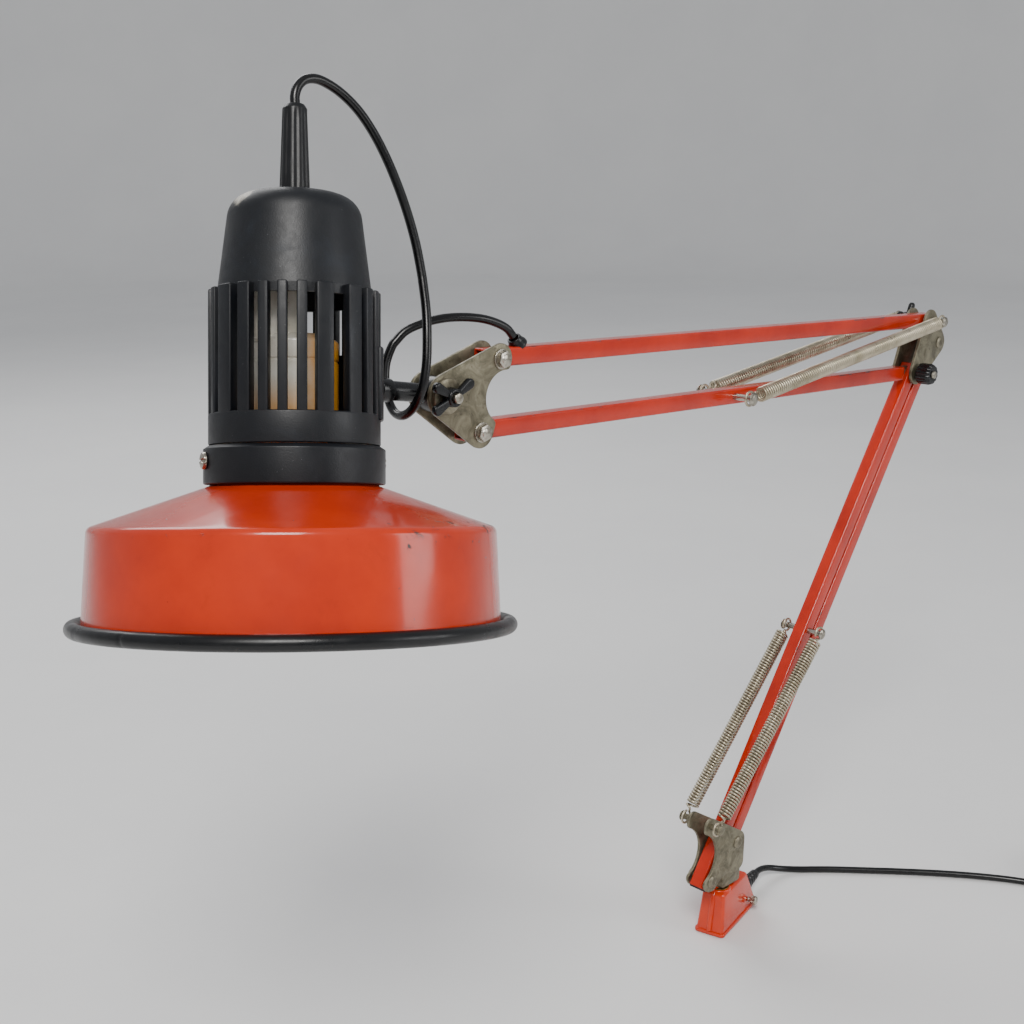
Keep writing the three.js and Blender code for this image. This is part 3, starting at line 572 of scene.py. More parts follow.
def tube_chips(look):
    """Wear on the four long edges of a square tube."""
    axes = look.axes()
    nearest = look.math("MINIMUM", look.math("ABSOLUTE", axes[1]), look.math("ABSOLUTE", axes[2]))
    edge = look.step(nearest, 0.0036, 0.0044)
    worn = look.step(look.noise(210, 5, 0.7, 0.4, (0.35, 1, 1)), 0.585, 0.625)
    return look.math("MULTIPLY", edge, worn)


def casting_chips(look):
    return look.step(look.noise(160, 5, 0.72, 0.4), 0.67, 0.71)


def zinc(name, base="8f8974", dark="5d5848", scratches=True):
    """Dull plated steel: cloudy olive-grey with stains, fine scratches and a soft sheen."""
    look = Look(name, Metallic=0.72, IOR=1.5)
    cloud = look.step(look.noise(95, 6, 0.68, 0.8), 0.32, 0.7)
    colour = look.mix(cloud, base, dark)
    colour = look.stained(colour, "3a2d1e", (260, 5, 0.7), 0.58, 0.72, 0.65)
    colour = look.stained(colour, "b5ae9a", (180, 4, 0.6, 0.3), 0.62, 0.78, 0.4)
    rough = look.step(look.noise(140, 5, 0.7), 0.3, 0.72, 0.34, 0.62)
    normal = look.bump(look.noise(900, 3, 0.6), 0.12, 0.0003)
    if scratches:
        lines = look.noise(120, 3, 0.6, 0, (14, 0.6, 1.5))
        normal = look.bump(lines, 0.14, 0.0002, normal)
    return look.finished(colour, rough, normal)


def drawn_wire(name):
    look = Look(name, Metallic=0.9, IOR=1.5)
    tone = look.step(look.noise(60, 5, 0.65, 0.5), 0.3, 0.7)
    colour = look.mix(tone, "c9c0ab", "a0967f")
    colour = look.stained(colour, "6a5238", (210, 5, 0.7), 0.64, 0.78, 0.3)
    rough = look.step(look.noise(150, 4, 0.6), 0.3, 0.7, 0.26, 0.44)
    normal = look.bump(look.noise(1600, 2, 0.5), 0.08, 0.0002)
    return look.finished(colour, rough, normal)


def bright_metal(name, base="b9b4a8", dark="7d776a"):
    look = Look(name, Metallic=0.95, IOR=1.5)
    tone = look.step(look.noise(190, 5, 0.65, 0.4), 0.35, 0.7)
    colour = look.mix(tone, base, dark)
    rough = look.step(look.noise(320, 4, 0.65), 0.3, 0.7, 0.2, 0.4)
    normal = look.bump(look.noise(1300, 3, 0.6), 0.1, 0.0002)
    return look.finished(colour, rough, normal)


def moulding(name, base, light, rough_low, rough_high, grain=1.0, dust=0.5, highlight_at=None):
    """Black moulded plastic: fine spark grain, handling shine, dust in specks and rubbed patches.

    The last argument, if given, is the middle of one pale painted highlight, in millimetres.
    """
    look = Look(name, Metallic=0.0, IOR=1.46)
    colour = look.stained(base, light, (34, 6, 0.7, 0.9), 0.5, 0.76, 0.55)
    motes = look.step(look.cells(420), 0.075, 0.03)
    sparse = look.step(look.noise(60, 3), 0.52, 0.62)
    motes = look.math("MULTIPLY", look.math("MULTIPLY", motes, sparse), dust)
    colour = look.mix(motes, colour, "8f9297")
    # A painted highlight: a pale warm disc with a noisy edge round the given point.
    if highlight_at:
        away = look.node("ShaderNodeVectorMath", {0: look.space, 1: Vector(highlight_at) * MM},
                         operation="DISTANCE").outputs["Value"]
        away = look.math("ADD", away, look.math("MULTIPLY", look.noise(330, 5, 0.7), 0.009))
        colour = look.mix(look.step(away, 0.0115, 0.0085), colour, "a7a296")
    rough = look.step(look.noise(48, 6, 0.7, 0.4), 0.3, 0.75, rough_low, rough_high)
    normal = look.bump(look.noise(1500, 2, 0.6), 0.22 * grain, 0.00025)
    normal = look.bump(look.noise(120, 3, 0.6), 0.05, 0.0008, normal)
    return look.finished(colour, rough, normal)


def glazed_porcelain(name):
    """White glaze, with amber light painted on lower down and on the side towards the arm."""
    look = Look(name, Metallic=0.0, Coat_Weight=0.5, Coat_Roughness=0.1, IOR=1.5)
    axes = look.axes()
    cloud = look.step(look.noise(80, 5, 0.6), 0.3, 0.7)
    colour = look.mix(cloud, "e6e2d6", "cfc9b8")
    # Painted amber light: a warm glow on the side towards the arm and lower down, painted into the glaze's
    # colour.
    side = look.math("ADD", look.math("MULTIPLY", axes[0], 0.75), look.math("MULTIPLY", axes[1], -0.75))
    side = look.math("ADD", side, look.math("MULTIPLY", look.noise(120, 4, 0.6), 0.006))
    amber_light_side = look.step(side, 0.006, 0.0175)
    low = look.step(axes[2], 0.004, -0.016, 0.0, 0.75)
    colour = look.mix(look.math("MAXIMUM", low, amber_light_side), colour, "e8a02c")
    fine = look.step(look.noise(420, 4, 0.6), 0.66, 0.74, 0.0, 0.5)
    colour = look.mix(fine, colour, "6a4a28")
    normal = look.bump(look.noise(260, 3, 0.5), 0.06, 0.0004)
    return look.finished(colour, 0.3, normal)


def amber_glass(name):
    """Amber lacquered bulb glass, denser towards its neck."""
    look = Look(name, Metallic=0.0, Coat_Weight=1.0, Coat_Roughness=0.03, IOR=1.5,
                Transmission_Weight=0.35)
    dense = look.step(look.noise(60, 4, 0.6), 0.3, 0.72)
    colour = look.mix(dense, "f0902a", "c25c10")
    neck = look.step(look.axes()[2], -0.05, -0.02, 0.0, 0.6)
    colour = look.mix(neck, colour, "8a3c0a")
    normal = look.bump(look.noise(500, 2, 0.5), 0.03, 0.0004)
    rough = look.step(look.noise(90, 3), 0.3, 0.7, 0.12, 0.24)
    return look.finished(colour, rough, normal)


def white_enamel(name):
    """The reflector inside the shade: warm white enamel, a little yellowed near the bulb."""
    look = Look(name, Metallic=0.0, Coat_Weight=0.3, Coat_Roughness=0.15, IOR=1.5)
    near_bulb = look.step(look.axes()[2], -0.075, -0.05)
    colour = look.mix(near_bulb, "ece7da", "d9c8a0")
    dirt = look.step(look.noise(90, 5, 0.7, 0.5), 0.58, 0.78, 0.0, 0.35)
    colour = look.mix(dirt, colour, "8a7c62")
    normal = look.bump(look.noise(380, 2, 0.5), 0.06, 0.0005)
    return look.finished(colour, 0.34, normal)


ENAMEL_SHADE = enamel("enamel_shade", "c83000", "b62800", shade_chips)
ENAMEL_TUBE = enamel("enamel_tube", "c42600", "a61b00", tube_chips)
ENAMEL_FOOT = enamel("enamel_foot", "d23400", "b82800", casting_chips)
REFLECTOR = white_enamel("reflector_white")
ZINC = zinc("zinc_plate")
ZINC_DARK = zinc("zinc_rivets", "9b9480", "5a5444", False)
WIRE = drawn_wire("spring_wire")
BRIGHT = bright_metal("bright_bolts")
BRONZE = bright_metal("bronze_bush", "9c7a45", "5f4420")
PLASTIC = moulding("collar_plastic", "0a0d12", "181d25", 0.34, 0.52)
# The middle of the painted highlight on the cap's shoulder.
CAP_HIGHLIGHT = (-25.5, 2.5, 80.5)
HOUSING_PLASTIC = moulding("housing_plastic", "0a0d12", "1a2029", 0.38, 0.56, highlight_at=CAP_HIGHLIGHT)
PLASTIC_GLOSS = moulding("knob_plastic", "07080a", "14171b", 0.2, 0.36, 0.4)
RUBBER = moulding("bead_rubber", "07080a", "15181c", 0.26, 0.48, 0.5, 0.7)
PLUG_RUBBER = moulding("plug_rubber", "121214", "242629", 0.42, 0.6, 1.2)
CORD = moulding("cord_sheath", "050506", "0d0f12", 0.2, 0.34, 0.3, 0.4)
PORCELAIN = glazed_porcelain("porcelain")
AMBER = amber_glass("amber_glass")


# ---- fasteners
def stud_profile(r, head_r, head_h, y0, y1):
    """A round-headed rivet or pin from y0 to y1, as [radius, height] with both heads domed."""
    dome = head_h * 0.45
    return rounded(
        [(0, y0 - head_h), (head_r * 0.62, y0 - head_h), (head_r, y0 - dome), (head_r, y0), (r, y0),
         (r, y1), (head_r, y1), (head_r, y1 + dome), (head_r * 0.62, y1 + head_h), (0, y1 + head_h)],
        [0, 0.9, 0.35, 0, 0, 0, 0, 0.35, 0.9, 0], closed=False)


def rivet(name, pivot, body, reach, look, r=PIN_R, head_r=4.2, head_h=1.4):
    profile = stud_profile(r, head_r, head_h, -reach, reach)
    return turned(name, profile, 40, look, body, on_pivot(pivot), TO_Y, False)


def wide_pin(name, pivot, body, r, head_r, head_h, segments):
    """A pin that carries a pair of springs outside the plates."""
    profile = stud_profile(r, head_r, head_h, -WIDE_PIN_HALF, WIDE_PIN_HALF)
    turned(name, profile, segments, BRIGHT, body, on_pivot(pivot), shift(0, WIDE_PIN_MIDDLE, 0) @ TO_Y,
           False)


def hexagon(r):
    return [along(60 * k + 15, r) for k in range(6)]


def hex_head(bm, r, y0, y1):
    """A chamfered hexagon from y0, against the work, to y1."""
    made = bmesh.new()
    prism(made, hexagon(r), min(y0, y1), max(y0, y1))
    soften(made, r * 0.09, 2)
    join_into(bm, made)


def threaded_end(bm, r, y0, y1, turns):
    """A bolt's end with shallow thread rings, domed at y1."""
    sign = 1 if y1 > y0 else -1
    length = abs(y1 - y0)
    pitch = length / (turns + 0.5)
    profile = [(0, 0)]
    for k in range(turns):
        profile += [(r, k * pitch), (r - 0.28, (k + 0.5) * pitch)]
    profile += [(r, turns * pitch), (r * 0.82, length - 0.2), (r * 0.5, length), (0, length)]
    matrix = shift(0, y0, 0) @ (TO_Y if sign > 0 else TO_MINUS_Y)
    moved(bm, matrix, lathe, profile, 28, False)


def hex_bolt(name, pivot, body):
    """A hex bolt with its head on the near side, and a washer, nut and thread on the far side."""
    bm = bmesh.new()
    hex_head(bm, 4.6, -PLATE_OUTER - 0.9, -PLATE_OUTER - 3.6)
    collar = rounded([(0, 0), (5.2, 0), (5.2, 0.8), (0, 0.8)], [0, 0.2, 0.2, 0], False)
    moved(bm, shift(0, -PLATE_OUTER - 0.05, 0) @ TO_MINUS_Y, lathe, collar, 36, False)
    moved(bm, shift(0, PLATE_OUTER + 0.05, 0) @ TO_Y, lathe, collar, 36, False)
    dome = [(0, 0), (2.9, 0), (2.5, 0.5), (1.2, 0.9), (0, 1)]
    moved(bm, shift(0, -PLATE_OUTER - 3.4, 0) @ TO_MINUS_Y, lathe, dome, 24, False)
    hex_head(bm, 4.6, PLATE_OUTER + 0.9, PLATE_OUTER + 3.9)
    threaded_end(bm, PIN_R, PLATE_OUTER + 3.6, PLATE_OUTER + 5.4, 2)
    shank = [(0, 0), (PIN_R, 0), (PIN_R, 2 * PLATE_OUTER), (0, 2 * PLATE_OUTER)]
    moved(bm, shift(0, -PLATE_OUTER, 0) @ TO_Y, lathe, shank, 24, False)
    piece(name, bm, BRIGHT, body, on_pivot(pivot))


# ---- plates
def plate_pair(name, outline, body, extras=None):
    """Two pressed plates with rounded edges, near (-Y) and far (+Y)."""
    for side, sign in (("near", -1), ("far", 1)):
        bm = bmesh.new()
        y0, y1 = sorted((sign * PLATE_INNER, sign * PLATE_OUTER))
        prism(bm, outline, y0, y1)
        soften(bm, 0.38, 3, 50)
        if extras:
            extras(bm, sign)
        piece(f"{name}_{side}", bm, ZINC, body)


def make_base():
    lobes = [(BASE_REAR, 8), (BASE_FRONT, 7.5), (LOWER_ANCHOR, 5.5), ((10.5, 46), 5)]
    outline = bitten(hull_of_lobes(lobes), (-3, 27.5), 15)
    outline = relaxed(bitten(outline, (-34, 62), 19), 8)

    def stud(bm, sign):
        profile = rounded([(0, 0), (2, 0), (2, 7.9), (3.4, 7.9), (3.4, 8.6), (2.2, 9.2), (0, 9.2)],
                          [0, 0, 0.3, 0.2, 0.4, 0.5, 0], False)
        x, z = LOWER_ANCHOR
        flip = TO_Y if sign > 0 else TO_MINUS_Y
        moved(bm, shift(x, sign * (PLATE_OUTER - 0.6), z) @ flip, lathe, profile, 32, False)

    plate_pair("base_plate", outline, "base_bracket", extras=stud)
    rivet("base_pivot_pin_rear", BASE_REAR, "base_bracket", PLATE_OUTER, ZINC_DARK)
    rivet("base_pivot_pin_front", BASE_FRONT, "base_bracket", PLATE_OUTER, ZINC_DARK)

    post = bmesh.new()
    web = rounded([(-4, 31), (15, 31), (15, 50.5), (-4, 50.5)], 1.6, True, 4)
    prism(post, web, -5.7, 5.7)
    soften(post, 0.4, 2, 50)
    pin = rounded([(0, 7), (4, 7), (4, 33), (0, 33)], [0, 0.8, 0, 0], False)
    lathe(post, pin, 48, False)
    piece("swivel_post", post, ZINC, "base_bracket")


def make_foot():
    """The cast wedge: drafted sides, soft edges, a raised ridge and a lip round its underside."""
    (x0, x1), half = FOOT_ENDS, FOOT_HALF_WIDTH
    top_half = half - FOOT_DRAFT

    def corners(ends, half_width, z):
        (a, b), w = ends, half_width
        return [bm.verts.new(c) for c in ((a, -w, z), (b, -w, z), (b, w, z), (a, w, z))]

    bm = bmesh.new()
    low = corners(FOOT_ENDS, half, 0)
    high = corners(FOOT_TOP_ENDS, top_half, FOOT_HEIGHT)
    bm.faces.new(low[::-1])
    bm.faces.new(high)
    for i in range(4):
        n = (i + 1) % 4
        bm.faces.new((low[i], low[n], high[n], high[i]))
    soften(bm, 2.2, 5, 20)
    lip, proud = bmesh.new(), 0.8
    a, b, w = x0 - proud, x1 + proud, half + proud
    outline = rounded([(a, -w), (b, -w), (b, w), (a, w)], 2.6, True, 6)
    moved(lip, turn(-90, "X"), prism, outline, -2.6, 0.0)
    soften(lip, 0.7, 3, 50)
    join_into(bm, lip)
    ridge = bmesh.new()
    spine = [(x0 - 0.1, 0, 3), (x0 + 2.3, 0, 15), (x0 + 5.6, 0, 26), (x0 + 9, 0, 29.0), (x0 + 14, 0, 29.3)]
    sweep(ridge, spline(spine, 6), lambda s: 1.9 - 0.5 * abs(s - 0.4), 16)
    join_into(bm, ridge)
    boss = rounded([(0, 27), (8.2, 27), (7.6, 29.7), (0, 29.7)], [0, 0, 0.8, 0], False)
    lathe(bm, boss, 48, False)
    piece("foot_casting", bm, ENAMEL_FOOT, "foot", FOOT_FRAME, sharp=40)

    bush = rounded([(4.3, 29.5), (6.6, 29.5), (6.6, 30.3), (4.3, 30.3)], 0.25, True, 3)
    turned("swivel_bush", bush, 64, BRONZE, "foot")

    screw = rounded([(0, 0), (1.6, 0), (1.6, 2), (3, 2), (3, 5.6), (2.3, 6), (0, 6)],
                    [0, 0, 0, 0.3, 0.5, 0.4, 0], False)
    knurl = lambda a, r, z: r + (0.14 * cos(18 * a) if 2.2 < z < 5.6 and r > 2.6 else 0)
    place = FOOT_FRAME @ at(29, 0.1 - half, 8.5)
    turned("swivel_lock_screw", screw, 108, BRIGHT, "foot", place, TO_MINUS_Y, False, knurl)

    boot = [(2.4, -5), (4.6, -5), (4.9, 0), (4.7, 3)]
    for k in range(3):
        z, low_r = 4.4 + 4.0 * k, 3.5 - 0.2 * k
        boot += [(4.3 - 0.3 * k, z), (low_r, z + 0.5), (low_r, z + 1.5), (4.2 - 0.3 * k, z + 2)]
    boot += [(3.3, 18.6), (2.4, 18.8)]
    place = FOOT_FRAME @ at(x1 + 0.4, 0, CORD_EXIT_HEIGHT)
    turned("cord_boot", rounded(boot, 0.4, True, 3), 40, RUBBER, "foot", place, TO_X)


# ---- arm tubes
def square_ring(c, corner, steps=5):
    return rounded([(-c, -c), (c, -c), (c, c), (-c, c)], corner, True, steps)


def tube_piece(name, pivot, angle, x0, x1, plugged=False):
    """A hollow square tube along local +X, with a black plug in its lower end if plugged."""
    bm = bmesh.new()
    half = TUBE_SIDE / 2
    outer = square_ring(half, TUBE_CORNER)
    inner = square_ring(half - TUBE_WALL, 0.5)
    stations = [x0, x0 + 0.18, x0 + 0.5]
    count = max(2, int((x1 - x0) / 12))
    stations += [x0 + 0.5 + (x1 - x0 - 1.0) * k / count for k in range(1, count)]
    stations += [x1 - 0.5, x1 - 0.18, x1]
    insets = {x0: 0.3, x1: 0.3, x0 + 0.18: 0.09, x1 - 0.18: 0.09}

    def ring(outline, x, inset):
        scale = 1 - inset / half
        return [bm.verts.new((x, p[0] * scale, p[1] * scale)) for p in outline]

    outside = [ring(outer, x, insets.get(x, 0)) for x in stations]
    inside = [ring(inner, x, 0) for x in (x0, x1)]
    count = len(outer)

    def bridge(a, b):
        for k in range(count):
            n = (k + 1) % count
            bm.faces.new((a[k], a[n], b[n], b[k]))

    for a, b in zip(outside, outside[1:]):
        bridge(a, b)
    bridge(outside[-1], inside[1])
    bridge(inside[1], inside[0])
    bridge(inside[0], outside[0])
    matrix = on_pivot(pivot) @ turn(-angle, "Y")
    piece(name, bm, ENAMEL_TUBE, name, matrix, sharp=50)
    if plugged:
        cap = bmesh.new()
        face = square_ring(half - 0.4, 0.8, 3)
        moved(cap, turn(90, "Z"), prism, face, x0 - 1.1, x0 + 3)
        soften(cap, 0.45, 3, 50)
        bmesh.ops.transform(cap, matrix=Matrix.Scale(-1, 4, (1, 0, 0)), verts=cap.verts)
        piece(f"{name}_plug", cap, PLASTIC, name, matrix, [])


def make_arms():
    over = TUBE_OVERHANG
    tube_piece("lower_tube_rear", BASE_REAR, LOWER_ANGLE, -over, LOWER_LENGTH + over)
    tube_piece("lower_tube_front", BASE_FRONT, LOWER_ANGLE, -over, LOWER_LENGTH + 5, plugged=True)
    tube_piece("upper_tube_top", ELBOW_TOP, UPPER_ANGLE, -over, UPPER_LENGTH + over)
    tube_piece("upper_tube_bottom", ELBOW_BOTTOM, UPPER_ANGLE, 12.5, UPPER_LENGTH + over)

    bm = bmesh.new()
    outline = hull_of_lobes([((0, 0), 4.6), ((36, 2.4), 1), ((36, -2.4), 1)])
    prism(bm, outline, -1.5, 1.5)
    soften(bm, 0.3, 2, 50)
    piece("upper_tube_tongue", bm, ZINC, "upper_tube_bottom",
          on_pivot(ELBOW_BOTTOM) @ turn(-UPPER_ANGLE, "Y"))

    rivet("lower_spring_pin", LOWER_TIP, "lower_tube_front", 15.2, BRIGHT, 2.0, 3.6, 1.4)
    wide_pin("upper_spring_pin", UPPER_TIP, "upper_tube_bottom", 2.0, 4.2, 2, 40)

    sleeve = [(2.6, -6.2), (3.5, -6.2), (3.5, -0.3), (5.3, 0.2), (5.0, 1.6), (4.0, 3.6), (3.6, 5.4),
              (2.6, 5.6)]
    entry = (on_pivot(ELBOW_TOP) @ turn(-UPPER_ANGLE, "Y") @ at(FLEX_ENTRY, 0, -TUBE_SIDE / 2)
             @ turn(180 - FLEX_SLANT, "Y"))
    turned("flex_grommet", rounded(sleeve, 0.35, True, 3), 40, RUBBER, "upper_tube_top", entry)


# ---- elbow
def make_elbow():
    lobes = [(ELBOW_TOP, 8), (ELBOW_REAR, 8), (ELBOW_BOTTOM, 8.5)]
    outline = relaxed(hull_of_lobes(lobes), 8)
    plate_pair("elbow_plate", outline, "elbow")
    rivet("elbow_pivot_pin", ELBOW_REAR, "elbow", PLATE_OUTER, ZINC_DARK)
    wide_pin("elbow_top_bolt", ELBOW_TOP, "elbow", PIN_R, 3.6, 1.6, 36)

    bm = bmesh.new()
    moved(bm, shift(0, -20.5, 0) @ TO_Y, lathe, [(0, 0), (PIN_R, 0), (PIN_R, 29), (0, 29)], 32, False)
    threaded_end(bm, PIN_R, -20.3, -22, 2)
    hex_head(bm, 4.6, PLATE_OUTER + 0.2, PLATE_OUTER + 3.6)
    piece("elbow_knob_bolt", bm, BRIGHT, "elbow", on_pivot(ELBOW_BOTTOM))

    profile = rounded([(2.8, 0), (5, 0), (7.4, 1.6), (7.4, 9.2), (6.4, 11.4), (2.8, 11.4)],
                      [0, 0.5, 0.6, 0.9, 0.9, 0.3], True, 4)
    flutes = lambda a, r, z: r - (0.55 * (0.5 + 0.5 * cos(12 * a)) ** 3 if r > 5.6 else 0)
    turned("elbow_knob", profile, 144, PLASTIC_GLOSS, "elbow_knob", on_pivot(ELBOW_BOTTOM),
           shift(0, -9, 0) @ TO_MINUS_Y, True, flutes)

    place = on_pivot(ELBOW_TOP, PLATE_OUTER + 0.6) @ turn(-18, "Y")
    wing_nut("elbow_wing_nut", (38, 142), 12.5, 5.0, place)


def wing_nut(name, angles, reach, width, matrix, flip=False):
    """A moulded nut with a wing at each angle, its back face at local y = 0."""
    bm = bmesh.new()
    hub = rounded([(2.8, 0), (5.0, 0), (4.5, 5.2), (2.8, 5.2)], [0, 0.4, 0.8, 0.3], True, 4)
    moved(bm, TO_Y, lathe, hub, 48)
    for angle in angles:
        tip = along(angle, reach - width / 2)
        wing = bmesh.new()
        prism(wing, hull_of_lobes([(along(angle, 3.0), width * 0.3), (tip, width / 2)]), 1.2, 4.4)
        soften(wing, 0.9, 4, 50)
        join_into(bm, wing)
    if flip:
        bmesh.ops.transform(bm, matrix=Matrix.Scale(-1, 4, (0, 1, 0)), verts=bm.verts)
    piece(name, bm, PLASTIC_GLOSS, name, matrix)


# ---- balance springs
def spring_path(length, root_lead, tip_lead, turns, phase=0.0):
    """A wire from an eye round the root pin, through the coil, to an eye round the tip pin."""
    path = []

    def eye(centre, facing):
        points = []
        for k in range(25):
            a = radians(35 + (350 - 35) * k / 24)
            points.append(Vector((centre + facing * HOOK_R * cos(a), 0, HOOK_R * sin(a))))
        return points

    def ramp(x0, x1, angle0, facing):
        points = []
        for k in range(9):
            s = k / 8
            r = COIL_R * (s * s * (3 - 2 * s))
            a = angle0 + facing * pi * (s - 1)
            points.append(Vector((x0 + (x1 - x0) * s, r * sin(a), r * cos(a))))
        return points

    start, end = root_lead, length - tip_lead
    path += eye(0, 1)
    path += ramp(min(HOOK_R + 0.6, start - 1), start, phase, 1)[1:]
    steps = int(turns * 14)
    for k in range(1, steps):
        s = k / steps
        a = phase + 2 * pi * turns * s
        path.append(Vector((start + (end - start) * s, COIL_R * sin(a), COIL_R * cos(a))))
    last = phase + 2 * pi * turns
    back = ramp(max(length - HOOK_R - 0.6, end + 1) - length, end - length, last, -1)
    path += [Vector((p.x + length, p.y, p.z)) for p in back[::-1]][:-1]
    path += eye(length, -1)[::-1]
    return path


def make_spring(pair, side, y, root, tip, leads, turns, phase):
    chord = tip - root
    bm = bmesh.new()
    sweep(bm, spring_path(chord.length, leads[0], leads[1], turns, phase), WIRE_R, 8)
    angle = math.degrees(math.atan2(chord.y, chord.x))
    matrix = on_pivot(root, y) @ turn(-angle, "Y")
    made = piece(f"{pair}_{side}", bm, WIRE, None, matrix, [f"{pair}_{side}", f"{pair}_hook_{side}"], 60)
    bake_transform(made)


def make_springs():
    lower = (LOWER_ANCHOR, LOWER_TIP, (9.0, 7.0), 66)
    upper = (ELBOW_TOP, UPPER_TIP, (6.0, 10.5), 96)
    make_spring("lower_spring", "near", -13, *lower, 0.4)
    make_spring("lower_spring", "far", 13, *lower, 2.1)
    make_spring("upper_spring", "near", -16, *upper, 1.0)
    make_spring("upper_spring", "far", 18.5, *upper, 3.0)


# ---- head bracket
def make_head_bracket():
    lobes = [(KNUCKLE, 11), (HEAD_TOP, 8), (HEAD_BOTTOM, 8.5)]
    outline = relaxed(bitten(hull_of_lobes(lobes), HEAD_TOP + Vector((3, -19.5)), 13.6), 8)
    plate_pair("head_cheek", outline, "head_bracket")
    hex_bolt("head_bolt_top", HEAD_TOP, "head_bracket")
    hex_bolt("head_bolt_bottom", HEAD_BOTTOM, "head_bracket")

    disc = rounded([(2.7, 0), (9, 0), (9, 2.0), (7.4, 2.2), (2.7, 2.2)], [0, 0.3, 0.5, 0.4, 0.2], True, 4)
    turned("friction_washer_near", disc, 64, ZINC_DARK, "head_bracket", on_pivot(KNUCKLE),
           shift(0, -PLATE_OUTER - 0.1, 0) @ TO_MINUS_Y)

    bm = bmesh.new()
    moved(bm, shift(0, -17, 0) @ TO_Y, lathe, [(0, 0), (PIN_R, 0), (PIN_R, 27), (0, 27)], 32, False)
    threaded_end(bm, PIN_R, -16.8, -18.2, 2)
    square = [along(45 + 90 * k, 6.2) for k in range(4)]
    head = bmesh.new()
    prism(head, square, PLATE_OUTER + 0.2, PLATE_OUTER + 3.2)
    soften(head, 0.5, 3)
    join_into(bm, head)
    piece("knuckle_bolt", bm, BRIGHT, "head_bracket", on_pivot(KNUCKLE))

    place = on_pivot(KNUCKLE, -PLATE_OUTER - 2.7)
    wing_nut("head_wing_nut", (28, 150, 205), 14.5, 5.4, place, flip=True)


def make_stem():
    bm = bmesh.new()
    eye = rounded([(2.9, -5), (9, -5), (9, 5), (2.9, 5)], [0, 0.8, 0.8, 0], True, 4)
    moved(bm, TO_Y, lathe, eye, 64)
    rod = rounded([(0, 4), (STEM_R, 4), (STEM_R, 43), (4.2, 43.4), (3, 43.8), (3, 56), (0, 56)],
                  [0, 0, 0.6, 0.3, 0, 0.3, 0], False)
    moved(bm, TO_X @ turn(180, "Y"), lathe, rod, 48, False)
    sleeve = rounded([(4.6, 30), (5.7, 30), (5.7, 37.5), (4.6, 37.5)], 0.5, True, 4)
    moved(bm, TO_X @ turn(180, "Y"), lathe, sleeve, 48)
    piece("stem", bm, PLASTIC_GLOSS, "head_knuckle", KNUCKLE_FRAME)


# ---- head
def slots():
    """Each gap between the fins as (angle of its middle, half its angle), going round."""
    gaps = [(angle, 3.1) for angle in (189.5, 205, 218, 230.5, 243.5)]
    gaps += [(264.2, 5.9), (284.5, 3.1), (298.5, 3.1), (311.5, 3.1), (324.5, 3.1)]
    return gaps + [(337.5 + 12.8 * k, 3.1) for k in range(16)]


def arc_slab(bm, middle, half, inner, outer, low, high, edge):
    """A bevelled block between two radii and two heights, through an angle about the axis."""
    steps = max(3, int(half / radians(2)))
    turns = [middle - half + 2 * half * k / steps for k in range(steps + 1)]
    outline = [Vector((cos(a), sin(a))) * outer for a in turns]
    outline += [Vector((cos(a), sin(a))) * inner for a in turns[::-1]]
    slab = bmesh.new()
    moved(slab, turn(-90, "X"), prism, outline, -high, -low)
    soften(slab, edge, 3, 45)
    join_into(bm, slab)


def make_housing():
    """The black cap with upright fins, open between them, over a plain band."""
    bm = bmesh.new()
    wall, shoulder, fin_depth = 2.2, 11.0, 4.8
    outside = rounded([(GLAND_HOLE_R, CAP_TOP), (CAP_R, CAP_TOP), (SKIRT_R, SLOT_TOP + 4),
                       (SKIRT_R, SLOT_TOP)], [0, shoulder, 0.6, 0], False, 10)
    inside = [(SKIRT_R - wall, SLOT_TOP), (SKIRT_R - wall, SLOT_TOP + 4),
              (CAP_R - wall, CAP_TOP - shoulder), (CAP_R - shoulder, CAP_TOP - wall),
              (GLAND_HOLE_R, CAP_TOP - wall)]
    lathe(bm, list(outside) + inside, 144, True)
    band = rounded([(FIN_R - 4.6, SLOT_BOTTOM), (FIN_R, SLOT_BOTTOM), (FIN_R, HOUSING_BOTTOM),
                    (FIN_R - 3, HOUSING_BOTTOM)], [0.4, 0.8, 0.7, 0.2], True, 4)
    lathe(bm, band, 144)
    gaps = slots()
    for (here, width), (ahead, next_width) in zip(gaps, gaps[1:] + [(gaps[0][0] + 360, gaps[0][1])]):
        low, high = here + width, ahead - next_width
        arc_slab(bm, radians(low + high) / 2, radians(high - low) / 2, FIN_R - fin_depth, FIN_R,
                 SLOT_BOTTOM - 0.8, SLOT_TOP + 4, 0.55)
    arc_slab(bm, 0, radians(52), FIN_R - 1.8, FIN_R + 1.3, -17, 16, 0.7)
    boss = bmesh.new()
    box(boss, FIN_R - 6.5, FIN_R + 3, -7, 7, -11, 18)
    soften(boss, 1.4, 4, 45)
    join_into(bm, boss)
    piece("vent_housing", bm, HOUSING_PLASTIC, "head", HEAD_FRAME, sharp=40)


